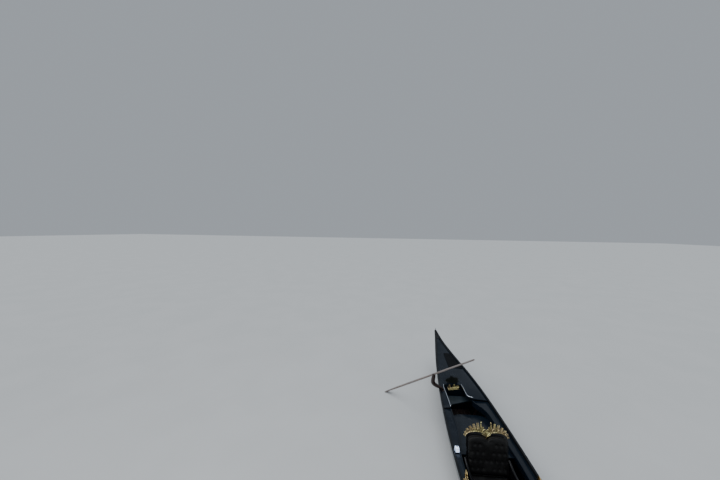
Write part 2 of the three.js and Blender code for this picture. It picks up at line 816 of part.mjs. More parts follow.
function makeSeatArm(side) {
  const low = SEAT_BOX_TOP - ARM.depth;
  const top = CUSHION_TOP + ARM.height;
  const back = SEAT_BACK_X - ARM.back;
  const front = SEAT_FRONT_X - ARM.front;
  const shape = new THREE.Shape();
  shape.moveTo(back, low);
  shape.lineTo(front, low);
  shape.quadraticCurveTo(front - 50, low + 150, front - 10, top - 90);
  shape.quadraticCurveTo(front + 44, top - 40, front, top);
  shape.quadraticCurveTo(front - 60, top + 20, front - 130, top - 20);
  shape.quadraticCurveTo(back + 140, top - 40, back - 52, top + 50);
  shape.lineTo(back - 34, top - 90);
  const inner = side.sign > 0 ? SEAT_LEFT : SEAT_RIGHT;
  const middle = inner + side.sign * (ARM.width / 2 + GAP);
  add(`seat_arm_${side.name}`, upright(shape, middle, ARM.width, 5), 'lacquer');
}

// Small side chairs that face each other forward of the main seat.
const CHAIR = {
  x: 640,
  starboard: -375,
  port: 535,
  width: 360,
  depth: 330,
  seat: 165,
  board: 42,
  cushion: 52,
  leg: 34,
  back: 210,
  crown: 160,
  backBoard: 22,
};

function makeChair(side) {
  const { x, width, depth, seat, board, cushion, leg, back, crown, backBoard } = CHAIR;
  const outer = CHAIR[side.name];
  const inner = outer - side.sign * depth;
  const yLow = Math.min(outer, inner);
  const yHigh = Math.max(outer, inner);
  const legs = [x - width / 2, x + width / 2 - leg].flatMap((legX) => {
    const foot = Math.max(floorTop(legX), floorTop(legX + leg)) + GAP;
    return [yLow, yHigh - leg].map((legY) => {
      return box(point(legX, legY, foot), point(legX + leg, legY + leg, seat - board / 2));
    });
  });
  const top = box(point(x - width / 2, yLow, seat - board), point(x + width / 2, yHigh, seat));
  const waist = width / 2 - 8;
  const rest = new THREE.Shape();
  rest.moveTo(x - waist, seat - board / 2);
  rest.lineTo(x + waist, seat - board / 2);
  rest.lineTo(x + width / 2, seat + back);
  rest.quadraticCurveTo(x, seat + back + crown, x - width / 2, seat + back);
  const restPlate = upright(rest, outer - (side.sign * backBoard) / 2, backBoard, 8);
  add(`chair_${side.name}`, join([top, ...legs, restPlate]), 'lacquer');
  const padLow = side.sign > 0 ? yLow : yLow + backBoard;
  const padHigh = side.sign > 0 ? yHigh - backBoard : yHigh;
  const pad = box(
    point(x - width / 2 + CUSHION_SET, padLow + CUSHION_SET, seat + GAP),
    point(x + width / 2 - CUSHION_SET, padHigh - CUSHION_SET, seat + cushion),
  );
  add(`chair_cushion_${side.name}`, pad, 'cloth');
}

// A ring of points about a centre, in the plane of u and v; a high power squares it off.
function ring(centre, u, v, halfU, halfV, count, power = 2) {
  return Array.from({ length: count }, (_, i) => {
    const angle = (2 * Math.PI * i) / count;
    const [c, s] = [Math.cos(angle), Math.sin(angle)];
    const reach = (Math.abs(c) ** power + Math.abs(s) ** power) ** (-1 / power);
    return centre.clone().addScaledVector(u, halfU * reach * c).addScaledVector(v, halfV * reach * s);
  });
}

// Solid of round section through rows of x, z and half-width, in one upright plane.
function swept(rows, y, flatten, count = 8) {
  const crosswise = point(0, 1, 0);
  return loft(rows.map(([x, z, half], i) => {
    const before = rows[Math.max(i - 1, 0)];
    const after = rows[Math.min(i + 1, rows.length - 1)];
    const run = point(after[0] - before[0], 0, after[1] - before[1]).normalize();
    const side = new THREE.Vector3().crossVectors(crosswise, run);
    return ring(point(x, y, z), crosswise, side, half * flatten, half, count);
  }));
}

// Brass sea horse on each side deck. Columns: x from its foot, height, half-width.
const SEA_HORSE = [
  [46, 14, 7],
  [62, 30, 9],
  [52, 52, 13],
  [18, 60, 17],
  [-12, 78, 21],
  [-22, 108, 24],
  [-12, 142, 25],
  [6, 170, 21],
  [8, 196, 18],
  [26, 220, 19],
  [52, 216, 13],
  [74, 204, 8],
];

const SEA_HORSE_AT = { x: -230, starboard: -505, port: 722 };
const PLINTH = { aft: 62, fore: 70, half: 30, height: 14 };
const PLINTH_POST = { aft: 8, fore: 24, half: 12, height: 62 };

// Highest point of a side deck between two places.
function sideDeckTop(from, to) {
  return Math.max(sheer(from), sheer(to)) - SIDE_DECK_DROP;
}

function makeSeaHorse(side) {
  const x = SEA_HORSE_AT.x;
  const y = SEA_HORSE_AT[side.name];
  const base = sideDeckTop(x - PLINTH.aft, x + PLINTH.fore) + GAP;
  const rows = SEA_HORSE.map(([dx, dz, half]) => [x + dx, base + dz, half]);
  const stand = [PLINTH, PLINTH_POST].map(({ aft, fore, half, height }) => {
    return box(point(x - aft, y - half, base), point(x + fore, y + half, base + height));
  });
  add(`sea_horse_${side.name}`, join([...stand, swept(rows, y, 0.7)]), 'brass');
}

// Gilded ornament on the face of the stern deck, and the dark leaves that stand behind it.
const ORNAMENT = { right: -205, left: 105, low: 600, high: 690, prong: 64, middleProng: 78, thickness: 26 };
const LEAF_FAN = { tips: 7, halfWidth: 188, height: 215, valley: 0.72, foot: 60, aft: 66, fore: 30 };

function makeOrnament() {
  const { right, left, low, high, prong, middleProng, thickness } = ORNAMENT;
  const middle = (right + left) / 2;
  const face = WELL_AFT_X + GAP;
  const shape = new THREE.Shape();
  shape.moveTo(right, low + 20);
  shape.quadraticCurveTo(middle, low - 24, left, low + 20);
  shape.lineTo(left + 4, high - 10);
  shape.lineTo(left - 30, high + 46);
  shape.lineTo(left - 62, high);
  shape.lineTo(middle + 26, high + 4);
  shape.lineTo(middle + 14, high + middleProng);
  shape.lineTo(middle - 12, high + middleProng);
  shape.lineTo(middle - 22, high + 2);
  shape.lineTo(right + 62, high);
  shape.lineTo(right + 50, high + prong);
  shape.lineTo(right + 24, high + prong);
  shape.lineTo(right - 2, high);
  add('stern_ornament', across(shape, face, face + thickness), 'gilt');

  const { tips, halfWidth, height, valley, foot, aft, fore } = LEAF_FAN;
  const footing = [-foot, foot].map((dy) => deckTop(WELL_AFT_X - aft, middle + dy, STERN_CAMBER));
  const base = Math.max(...footing) + 2 * GAP;
  const fan = steps(0, Math.PI, tips * 2).map((angle, i) => {
    const grow = i % 2 === 1 ? 1 : valley;
    const y = middle + halfWidth * Math.cos(angle) * grow;
    return new THREE.Vector2(y, base + 6 + height * Math.sin(angle) * grow);
  });
  const footLine = [new THREE.Vector2(middle - foot, base), new THREE.Vector2(middle + foot, base)];
  const leaves = new THREE.Shape([...fan, ...footLine]);
  add('ornament_leaves', across(leaves, WELL_AFT_X - aft, WELL_AFT_X - fore), 'leaf');
}

// Small night lamp on the starboard side deck.
const LAMP = { x: -850, y: -490, size: 100, height: 122, knob: 10 };

function makeLamp() {
  const { x, y, size, height, knob } = LAMP;
  const half = size / 2;
  const low = sideDeckTop(x - half, x + half) + GAP;
  const pane = half - 10;
  // Columns: reach from the middle, height. Foot, panes, roof and knob.
  const rows = [[half, 0], [half, 14], [pane, 16], [pane, height - 30], [half, height - 26],
    [half, height - 18], [knob, height], [knob, height + knob]];
  const loops = rows.map(([reach, up]) => {
    return ring(point(x, y, low + up), point(1, 0, 0), point(0, 1, 0), reach, reach, 8, 6);
  });
  add('deck_lamp', loft(loops), 'lamp');
}

// Rowlock: a crooked walnut post in a block in the starboard arm of the stern deck.
// Columns: height, y, x, half-width across, half-width along, squareness.
const ROWLOCK = [
  [600, -361, -2640, 22, 27, 8],
  [724, -361, -2640, 22, 27, 8],
  [736, -410, -2638, 72, 37, 3],
  [770, -478, -2630, 80, 41, 2.6],
  [815, -545, -2620, 74, 43, 2.5],
  [858, -596, -2610, 60, 43, 2.4],
  [905, -625, -2600, 46, 41, 2.4],
  [960, -631, -2588, 40, 38, 2.4],
  [1020, -622, -2576, 42, 40, 2.4],
  [1075, -616, -2564, 46, 46, 2.6],
  [1120, -616, -2556, 44, 44, 2.6],
  [1158, -615, -2548, 34, 34, 2.4],
];

function makeRowlockBlock() {
  const { low, high } = rowlockBlockBox(0);
  const halfX = ROWLOCK_LEG.halfAlong + ROWLOCK_LEG.play;
  const halfY = ROWLOCK_LEG.halfAcross + ROWLOCK_LEG.play;
  const hole = box(
    point(ROWLOCK_X - halfX, ROWLOCK_Y - halfY, low.z - 10),
    point(ROWLOCK_X + halfX, ROWLOCK_Y + halfY, high.z + 10),
  );
  add('rowlock_block', cut(box(low, high), [hole]), 'walnut');
}

// Level direction of the oar's loom at one angle of its swing from rest, in degrees.
function loomDirection(swing) {
  const azimuth = THREE.MathUtils.degToRad(OAR_AZIMUTH + swing);
  return point(Math.cos(azimuth), Math.sin(azimuth), 0);
}

// Room for the oar's shaft where it stands at one angle of its swing.
function shaftRoom(swing, radius) {
  const rise = THREE.MathUtils.degToRad(OAR_RISE);
  const level = loomDirection(swing);
  const run = level.clone().multiplyScalar(Math.cos(rise)).setZ(Math.sin(rise));
  const crosswise = point(-level.y, level.x, 0);
  const up = new THREE.Vector3().crossVectors(run, crosswise);
  return loft([-SHAFT_REACH, SHAFT_REACH].map((distance) => {
    return ring(OAR_PIVOT.clone().addScaledVector(run, distance), crosswise, up, radius, radius, 16);
  }));
}

// Room that the shaft sweeps through between two angles, on the side of the pivot that end names:
// 1 for the loom, -1 for the blade.
function sweptRoom(swings, radius, end) {
  const rise = THREE.MathUtils.degToRad(OAR_RISE);
  const half = radius / Math.cos(rise);
  return loft(swings.map((swing) => {
    const corner = (distance, up) => {
      const z = end * distance * Math.tan(rise) + up;
      return OAR_PIVOT.clone().addScaledVector(loomDirection(swing), end * distance).add(point(0, 0, z));
    };
    return [corner(1, -half), corner(SHAFT_REACH, -half), corner(SHAFT_REACH, half), corner(1, half)];
  }));
}

function makeRowlock() {
  const loops = ROWLOCK.map(([z, y, x, halfY, halfX, power]) => {
    return ring(point(x, y, z), point(1, 0, 0), point(0, 1, 0), halfX, halfY, 12, power);
  });
  const radius = OAR_RADIUS + OAR_CLEARANCE;
  const swings = steps(-OAR_SWING_AFT - OAR_SPARE, OAR_SWING_FORE + OAR_SPARE, 14);
  const ends = [swings[0], swings.at(-1)].map((swing) => shaftRoom(swing, radius));
  const sweeps = [1, -1].map((end) => sweptRoom(swings, radius, end));
  add('rowlock', cut(loft(loops), [...ends, ...sweeps]), 'walnut');
}

// Oar, drawn along its own shaft and then turned and set in the rowlock.
// Columns: distance inboard of the rowlock, half-width, half-thickness.
const OAR = [
  [-2900, 62, 6],
  [-2880, 72, 7],
  [-2300, 74, 9],
  [-1900, 62, 13],
  [-1600, 40, 20],
  [-1380, 27, 24],
  [-900, 26, 26],
  [-200, 25, 25],
  [0, 25, 25],
  [200, 25, 25],
  [900, 21, 21],
  [1270, 19, 19],
  [1300, 12, 12],
];

function makeOar() {
  const loops = OAR.map(([x, halfWidth, halfThickness]) => {
    return ring(point(x, 0, 0), point(0, 1, 0), point(0, 0, 1), halfWidth, halfThickness, 16);
  });
  const oar = add('oar', loft(loops), 'oar');
  oar.position.copy(OAR_PIVOT);
  oar.rotation.order = 'ZYX';
  oar.rotation.z = THREE.MathUtils.degToRad(OAR_AZIMUTH);
  oar.rotation.y = -THREE.MathUtils.degToRad(OAR_RISE);
}

BOTTOM_LENGTHS.forEach(makeBottom);
SIDES.forEach(makeSide);
makePost('stern_post', STERN_TIP_X, HULL_AFT_X - GAP);
makePost('stem_post', HULL_FORE_X + GAP, STEM_X);
SIDES.forEach(makeGunwaleCap);
makeSternDeck();
makeBowDeck();
makeSideDeck(STARBOARD, STARBOARD_ARM_X);
makeSideDeck(PORT, PORT_ARM_X);
makeBulkheads();
makeThwart('stern_thwart', STERN_THWART);
makeThwart('bow_thwart', BOW_THWART);
makeFrames();
makeFloor('stern_floor', WELL_AFT_X + FLOOR_END, PLATFORM_PANEL.x - PLATFORM_PANEL.thickness);
makeFloor('passenger_floor', PLATFORM.fore + 2 * FLOOR_END, BOW_DECK_X - FLOOR_END);
makePlatform();
makeWellRails();
makeFootMat();
makeBowIron();
makeSternIron();
makeSeatBox();
makeSeatBackBoard();
makeSeatBack();
makeCrest();
SIDES.forEach(makeSeatArm);
SIDES.forEach(makeChair);
SIDES.forEach(makeSeaHorse);
makeOrnament();
makeLamp();
makeRowlockBlock();
makeRowlock();
makeOar();

export default group;
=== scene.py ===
"""Looks of a Venetian rowing boat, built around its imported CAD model.

Metres. +X is towards the bow, +Y to port, +Z up, and the floor lies at the waterline, z = 0.
"""

import json
import math

import bpy
from mathutils import Matrix, Vector

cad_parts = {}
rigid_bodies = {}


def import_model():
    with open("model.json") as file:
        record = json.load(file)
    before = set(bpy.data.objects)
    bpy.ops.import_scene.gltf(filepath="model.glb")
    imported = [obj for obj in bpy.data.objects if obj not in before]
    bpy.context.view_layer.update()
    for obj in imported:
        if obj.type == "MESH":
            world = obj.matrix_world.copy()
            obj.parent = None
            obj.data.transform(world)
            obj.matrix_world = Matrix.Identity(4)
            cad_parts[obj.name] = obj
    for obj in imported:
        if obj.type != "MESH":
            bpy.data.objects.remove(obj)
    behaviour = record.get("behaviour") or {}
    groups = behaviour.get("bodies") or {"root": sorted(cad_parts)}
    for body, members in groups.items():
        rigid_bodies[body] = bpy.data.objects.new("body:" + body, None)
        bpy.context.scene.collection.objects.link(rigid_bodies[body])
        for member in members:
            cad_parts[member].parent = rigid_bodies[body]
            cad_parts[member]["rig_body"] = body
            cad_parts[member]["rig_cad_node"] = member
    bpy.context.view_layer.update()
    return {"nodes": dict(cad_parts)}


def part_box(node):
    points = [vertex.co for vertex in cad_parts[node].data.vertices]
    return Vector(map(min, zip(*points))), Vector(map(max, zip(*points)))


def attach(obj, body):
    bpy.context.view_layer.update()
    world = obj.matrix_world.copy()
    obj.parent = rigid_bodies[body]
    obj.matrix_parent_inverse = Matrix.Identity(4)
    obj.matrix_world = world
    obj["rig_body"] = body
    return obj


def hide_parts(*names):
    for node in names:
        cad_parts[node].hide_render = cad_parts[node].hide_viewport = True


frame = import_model()

BOAT = "boat"
OAR = "oar"
SIDES = {"starboard": -1, "port": 1}
HANDS = (-1, 1)
PLANKING = ("side_planking_starboard", "side_planking_port", "bottom_aft", "bottom_middle", "bottom_fore")

# Camera, fitted to the outline of the hull in the photograph. Angles in radians, lens in pixels.
PHOTO_WIDTH = 720
PHOTO_HEIGHT = 480
HORIZON_ROW = 229.5
SENSOR_WIDTH = 36.0
CAMERA_PLACE = (4.430, -2.103, 4.930)
CAMERA_YAW = -0.075
CAMERA_ROLL = 0.0158
CAMERA_LENS_PIXELS = 265.0
CAMERA_REACH = 500.0

# Main seat, in the CAD model's places. Its back has two arches side by side.
SEAT_MIDDLE_Y = 0.040
ARCH_HALF = 0.195
ARCH_MIDDLES = (-ARCH_HALF, ARCH_HALF)
ARCH_RISE = 0.090
ARCH_SPRING_Z = 0.915
ARCH_STEPS = 12
BACK_BOARD_X = -0.666
BACK_LEAN = 0.14
BACK_PIVOT_Z = 1.0
CUSHION_TOP = 0.292

# Turn that takes the X axis to the oar at rest: its rise and its heading.
OAR_TURN = (0, math.radians(-36.3), math.radians(51.7))


# Selecting, naming and joining.


def pick(*pieces):
    """Select these objects alone, the first one active."""
    bpy.ops.object.select_all(action="DESELECT")
    for piece in pieces:
        piece.select_set(True)
    bpy.context.view_layer.objects.active = pieces[0]


def take(name):
    """Name the object that was just made."""
    piece = bpy.context.active_object
    piece.name = name
    piece.data.name = name
    return piece


def settle(piece):
    """Put an object's place, turn and size into its mesh."""
    pick(piece)
    bpy.ops.object.transform_apply(location=True, rotation=True, scale=True)
    return piece


def unite(name, pieces):
    """One object from several."""
    pick(*pieces)
    if len(pieces) > 1:
        bpy.ops.object.join()
    return settle(take(name))


def copy_of(piece, name):
    """A copy with a mesh of its own."""
    pick(piece)
    bpy.ops.object.duplicate(linked=False)
    return take(name)


def discard(piece):
    """Delete a pattern or a cutter that has done its work."""
    pick(piece)
    bpy.ops.object.delete()


def open_mesh(piece):
    """Edit mode, with all of the mesh selected."""
    pick(piece)
    bpy.ops.object.mode_set(mode="EDIT")
    bpy.ops.mesh.select_all(action="SELECT")


def close_mesh():
    """Object mode again."""
    bpy.ops.object.mode_set(mode="OBJECT")


def push_out(move):
    """Extrude the selected faces along a move."""
    bpy.ops.mesh.extrude_region_move(TRANSFORM_OT_translate={"value": move})


CAD_MERGE = 2e-5
FLAT_ANGLE = math.radians(0.4)
QUAD_FACE_ANGLE = math.radians(30)
QUAD_SHAPE_ANGLE = math.radians(120)


def cad_copy(node, name, keep_stations=False):
    """A new piece with a CAD node's shape, its triangles merged into whole faces.

    A long curved piece keeps the cross-lines at its stations, as four-sided faces.
    """
    original = frame["nodes"][node]
    original.hide_viewport = False
    piece = copy_of(original, name)
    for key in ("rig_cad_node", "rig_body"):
        del piece[key]
    piece.parent = None
    open_mesh(piece)
    bpy.ops.mesh.remove_doubles(threshold=CAD_MERGE)
    if keep_stations:
        bpy.ops.mesh.tris_convert_to_quads(face_threshold=QUAD_FACE_ANGLE, shape_threshold=QUAD_SHAPE_ANGLE)
    else:
        bpy.ops.mesh.dissolve_limited(angle_limit=FLAT_ANGLE)
    close_mesh()
    return piece


def apply_modifier(piece, kind, **settings):
    """Add a modifier with these settings and apply it."""
    pick(piece)
    modifier = piece.modifiers.new(kind.title(), kind)
    for name, value in settings.items():
        setattr(modifier, name, value)
    bpy.ops.object.modifier_apply(modifier=modifier.name)


def round_edges(piece, width, segments=2, angle=28):
    """Round every edge that turns by more than an angle in degrees."""
    apply_modifier(
        piece,
        "BEVEL",
        width=width,
        segments=segments,
        limit_method="ANGLE",
        angle_limit=math.radians(angle),
        use_clamp_overlap=True,
    )


# Angles for smooth shading, in degrees: joinery, carving, and soft or cast pieces.
JOINERY_ANGLE = 32
CARVED_ANGLE = 50
SOFT_ANGLE = 60


def smooth(piece, angle=JOINERY_ANGLE):
    """Shade smooth across every edge that turns by less than an angle in degrees."""
    pick(piece)
    bpy.ops.object.shade_smooth_by_angle(angle=math.radians(angle))


def subdivide(piece, levels=1):
    """Apply subdivision surfaces."""
    apply_modifier(piece, "SUBSURF", levels=levels, render_levels=levels)


def fair(piece, levels, crease, angle):
    """Subdivide a long faceted piece into a fair curve, holding edges sharper than an angle in degrees."""
    open_mesh(piece)
    bpy.ops.mesh.select_all(action="DESELECT")
    bpy.ops.mesh.select_mode(type="EDGE")
    bpy.ops.mesh.edges_select_sharp(sharpness=math.radians(angle))
    bpy.ops.transform.edge_crease(value=crease)
    bpy.ops.mesh.select_mode(type="VERT")
    close_mesh()
    subdivide(piece, levels)


MERGE = 1e-5


def outward(piece):
    """Merge doubles and point the faces outwards."""
    open_mesh(piece)
    bpy.ops.mesh.remove_doubles(threshold=MERGE)
    bpy.ops.mesh.normals_make_consistent(inside=False)
    close_mesh()


def select_faces(piece, test):
    """Edit mode, with only the faces selected whose middle and normal pass a test."""
    pick(piece)
    chosen = [test(face.center, face.normal) for face in piece.data.polygons]
    bpy.ops.object.mode_set(mode="EDIT")
    bpy.ops.mesh.select_mode(type="FACE")
    bpy.ops.mesh.select_all(action="DESELECT")
    close_mesh()
    for face, wanted in zip(piece.data.polygons, chosen):
        face.select = wanted
    bpy.ops.object.mode_set(mode="EDIT")


SQUARE_ON = 0.9


def looks_up(centre, normal):
    """A test for faces that look straight up."""
    return normal.z > SQUARE_ON


def sink_panel(piece, facing, border, depth):
    """Inset the face that looks along X, ahead or astern, and push its panel into the piece."""
    select_faces(piece, lambda centre, normal: normal.x * facing > SQUARE_ON)
    bpy.ops.mesh.inset(thickness=border)
    push_out((-facing * depth, 0, 0))
    close_mesh()


def place(piece, at=(0, 0, 0), turn=(0, 0, 0), size=(1, 1, 1)):
    """Move a shape that was made at the origin to its place."""
    piece.rotation_mode = "XYZ"
    piece.rotation_euler = turn
    piece.scale = size
    piece.location = at
    settle(piece)
    if size[0] * size[1] * size[2] < 0:
        outward(piece)
    return piece


# Dressing finished pieces.


def dress(piece, material, body=BOAT, stands_for=()):
    """Give a finished piece its material and the body that it rides on, and hide the CAD nodes that it
    stands for.
    """
    piece.data.materials.clear()
    piece.data.materials.append(material)
    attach(piece, body)
    if stands_for:
        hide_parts(*stands_for)
    return piece


def eased(node, material, width, segments=2, name=None):
    """A CAD piece with its edges rounded, dressed to stand for its node."""
    piece = cad_copy(node, name or "eased_" + node)
    round_edges(piece, width, segments)
    smooth(piece)
    return dress(piece, material, stands_for=[node])


def faired(node, name, material, levels=2, crease=1.0, sharp=25, soft=JOINERY_ANGLE):
    """A long CAD piece faired into smooth curves, dressed to stand for its node."""
    piece = cad_copy(node, name, keep_stations=True)
    fair(piece, levels, crease, sharp)
    smooth(piece, soft)
    return dress(piece, material, stands_for=[node])


# Starting shapes.


def block(name, low, high):
    """A block between two corners."""
    low, high = Vector(low), Vector(high)
    bpy.ops.mesh.primitive_cube_add(size=1, location=(low + high) / 2)
    piece = take(name)
    piece.scale = high - low
    return settle(piece)


def ball(name, spot, radius, stretch=(1, 1, 1), detail=2):
    """A ball, stretched along each axis."""
    bpy.ops.mesh.primitive_ico_sphere_add(subdivisions=detail, radius=radius, location=spot)
    piece = take(name)
    piece.scale = stretch
    return settle(piece)


def drum(name, spot, radius, depth, axis, sides=24):
    """A round bar or disc along one axis."""
    turns = {"X": (0, math.pi / 2, 0), "Y": (math.pi / 2, 0, 0), "Z": (0, 0, 0)}
    bpy.ops.mesh.primitive_cylinder_add(
        vertices=sides, radius=radius, depth=depth, location=spot, rotation=turns[axis]
    )
    return settle(take(name))


def sweep(name, rows, sides=8):
    """A tapering bar in the XZ plane, drawn out ring by ring.

    Each row is x, z, half-width in the plane and half-thickness across it.
    """
    points = [Vector((row[0], 0, row[1])) for row in rows]
    turns = []
    for i in range(len(rows)):
        run = points[min(i + 1, len(rows) - 1)] - points[max(i - 1, 0)]
        turns.append(math.atan2(run.z, run.x))
    bpy.ops.mesh.primitive_circle_add(
        vertices=sides,
        radius=1,
        fill_type="NGON",
        location=points[0],
        rotation=(0, math.pi / 2 - turns[0], 0),
    )
    piece = take(name)
    piece.scale = (rows[0][2], rows[0][3], 1)
    settle(piece)
    open_mesh(piece)
    for i in range(1, len(rows)):
        push_out(points[i] - points[i - 1])
        turn = (turns[i] - turns[i - 1] + math.pi) % (2 * math.pi) - math.pi
        # With no window, a positive value turns +X towards +Z.
        bpy.ops.transform.rotate(
            value=turn, orient_axis="Y", orient_type="GLOBAL", center_override=points[i]
        )
        wide = rows[i][2] / rows[i - 1][2]
        thick = rows[i][3] / rows[i - 1][3]
        bpy.ops.transform.resize(value=(wide, thick, wide), center_override=points[i])
    bpy.ops.mesh.select_all(action="SELECT")
    bpy.ops.mesh.normals_make_consistent(inside=False)
    close_mesh()
    return piece


# Carver's shapes. The fractions in them are of a scroll's size, or of a leaf's length, width
# and thickness.
SCROLL_LENGTH = 3.1
SCROLL_STEPS = 22
SCROLL_TURNS = 1.161
SCROLL_END = 0.05
SCROLL_THICKNESS = 0.9
SCROLL_EYE = 0.1
RIB_STEPS = 7
LOBE_STEPS = 6


def scroll_rows(size, start):
    """Rows of a C-scroll that rises from the origin and curls over towards +X, ever more tightly."""
    rows = []
    x = z = 0.0
    heading = math.pi / 2
    step = size * SCROLL_LENGTH / SCROLL_STEPS
    for i in range(SCROLL_STEPS + 1):
        t = i / SCROLL_STEPS
        half = size * (start + (SCROLL_END - start) * t)
        rows.append((x, z, half, half * SCROLL_THICKNESS))
        heading -= 2 * math.pi * SCROLL_TURNS * (0.25 + 1.5 * t) / SCROLL_STEPS
        stride = step * (1.15 - 0.95 * t)
        x += stride * math.cos(heading)
        z += stride * math.sin(heading)
    return rows


def scroll(name, size, start):
    """A C-scroll, as thick as start times its size at the foot, with a bead in its eye."""
    rows = scroll_rows(size, start)
    curl = sweep(name, rows)
    eye = ball(name + "_eye", (rows[-1][0], 0, rows[-1][1]), size * SCROLL_EYE, detail=1)
    return unite(name, [curl, eye])


def leaf_rib(name, length, width, thickness, bend):
    """Rib of a carved leaf, which swells above its foot and tapers to its tip."""
    rows = []
    for i in range(RIB_STEPS + 1):
        t = i / RIB_STEPS
        half = width * (0.10 + 0.12 * math.sin(math.pi * t)) * (1 - t) ** 0.5 + 0.001
        rows.append((bend * t * t, length * t, half, thickness * (1 - 0.5 * t)))
    return sweep(name + "_rib", rows)


def leaf_lobe(name, root, reach, hand, thickness):
    """Pointed lobe that leaves the rib at its root and turns up."""
    rows = []
    for k in range(LOBE_STEPS + 1):
        s = k / LOBE_STEPS
        x = root[0] + hand * reach * (0.95 * s - 0.28 * s * s)
        z = root[1] + reach * (0.45 * s + 0.75 * s * s)
        half = reach * 0.30 * math.sin(math.pi * (0.14 + 0.84 * s)) ** 0.8 + 0.0008
        rows.append((x, z, half, thickness * (1 - 0.6 * s)))
    return sweep(name + "_lobe", rows)


def acanthus(name, length, width, thickness, lobes=3, bend=0.0):
    """A carved leaf from the origin up +Z: a rib with pointed lobes on both sides of it."""
    parts = [leaf_rib(name, length, width, thickness, bend)]
    for i in range(lobes):
        t = 0.05 + 0.66 * i / max(1, lobes - 1)
        reach = width * (1 - 0.45 * t)
        root = (bend * t * t, length * t)
        for hand in HANDS:
            parts.append(leaf_lobe(name, root, reach, hand, thickness * (0.9 - 0.12 * i)))
    return unite(name, parts)


def shell(name, petal, angles, foot):
    """Petals fanned out from the foot of a scallop shell, at angles from upright in degrees."""
    rays = []
    for degrees in angles:
        rays.append(place(sweep(name, petal), foot, (0, math.radians(degrees), 0)))
    return rays


# Node trees.

# A Mix node's colour sockets, by number, because it has the same names for every kind of value.
MIX_FACTOR = 0
MIX_FIRST = 6
MIX_SECOND = 7
MIX_RESULT = 2


class Nodes:
    """A node tree with short ways to add nodes and join them."""

    def __init__(self, tree):
        self.tree = tree

    def add(self, kind, inputs=None, **settings):
        """A new node with these settings, its inputs fed by name."""
        made = self.tree.nodes.new(kind)
        for name, value in settings.items():
            setattr(made, name, value)
        for name, value in (inputs or {}).items():
            self.feed(value, made.inputs[name])
        return made

    def feed(self, value, socket):
        """Join a socket to another one, or set it to a plain value."""
        if isinstance(value, bpy.types.NodeSocket):
            self.tree.links.new(value, socket)
        else:
            socket.default_value = value

    def object_place(self, stretch=(1, 1, 1)):
        """The piece's own coordinates, stretched along each axis."""
        own = self.add("ShaderNodeTexCoord").outputs["Object"]
        mapping = self.add("ShaderNodeMapping", {"Vector": own})
        mapping.inputs["Scale"].default_value = stretch
        return mapping.outputs["Vector"]

    def along_the_oar(self):
        """The piece's own coordinates turned so that X runs down the oar, and stretched with the grain."""
        turned = self.add("ShaderNodeVectorRotate", rotation_type="EULER_XYZ", invert=True)
        self.feed(self.add("ShaderNodeTexCoord").outputs["Object"], turned.inputs["Vector"])
        turned.inputs["Rotation"].default_value = OAR_TURN
        mapping = self.add("ShaderNodeMapping", {"Vector": turned.outputs["Vector"]})
        mapping.inputs["Scale"].default_value = (0.06, 1.0, 1.0)
        return mapping.outputs["Vector"]

    def noise(self, scale, detail=3.0, roughness=0.55, stretch=(1, 1, 1)):
        """Noise on the piece's own coordinates."""
        inputs = {
            "Vector": self.object_place(stretch),
            "Scale": scale,
            "Detail": detail,
            "Roughness": roughness,
        }
        return self.add("ShaderNodeTexNoise", inputs).outputs["Fac"]

    def spread(self, value, low, high, to_low=0.0, to_high=1.0):
        """A value mapped smoothly from one range to another."""
        inputs = {
            "Value": value,
            "From Min": low,
            "From Max": high,
            "To Min": to_low,
            "To Max": to_high,
        }
        mapped = self.add("ShaderNodeMapRange", inputs, interpolation_type="SMOOTHSTEP")
        return mapped.outputs["Result"]

    def combine(self, operation, first, second):
        """Two values brought together by a sum, a product or the like."""
        made = self.add("ShaderNodeMath", operation=operation)
        self.feed(first, made.inputs[0])
        self.feed(second, made.inputs[1])
        return made.outputs["Value"]

    def blend(self, mask, first, second):
        """One colour where the mask is 0, the other where it is 1."""
        made = self.add("ShaderNodeMix", data_type="RGBA")
        self.feed(mask, made.inputs[MIX_FACTOR])
        self.feed(first, made.inputs[MIX_FIRST])
        self.feed(second, made.inputs[MIX_SECOND])
        return made.outputs[MIX_RESULT]

    def group(self, tree, **inputs):
        """The outputs of a shader group that is given these inputs."""
        made = self.add("ShaderNodeGroup", node_tree=tree)
        for name, value in inputs.items():
            self.feed(value, made.inputs[name])
        return made.outputs

    def bump(self, height, strength, distance=0.002):
        """A normal that follows a height."""
        inputs = {"Height": height, "Strength": strength, "Distance": distance}
        return self.add("ShaderNodeBump", inputs).outputs["Normal"]


def shader_group(name, inputs, outputs, build):
    """A node group with number inputs and outputs, whose nodes a function lays out."""
    tree = bpy.data.node_groups.new(name, "ShaderNodeTree")
    for label, value in inputs.items():
        socket = tree.interface.new_socket(label, in_out="INPUT", socket_type="NodeSocketFloat")
        socket.default_value = value
    for label in outputs:
        tree.interface.new_socket(label, in_out="OUTPUT", socket_type="NodeSocketFloat")
    nodes = Nodes(tree)
    entry = nodes.add("NodeGroupInput").outputs
    results = build(nodes, entry)
    leave = nodes.add("NodeGroupOutput").inputs
    for label, value in results.items():
        nodes.feed(value, leave[label])
    return tree


def lay_out_dust(nodes, entry):
    """Dust that settles on faces that look up, in soft patches."""
    normal = nodes.add("ShaderNodeNewGeometry").outputs["Normal"]
    up = nodes.add("ShaderNodeSeparateXYZ", {"Vector": normal}).outputs["Z"]
    level = nodes.spread(up, 0.55, 0.98)
    patches = nodes.spread(nodes.noise(entry["Scale"], 5.0), 0.35, 0.75)
    dust = nodes.combine("MULTIPLY", level, patches)
    return {"Dust": nodes.combine("MULTIPLY", dust, entry["Amount"])}


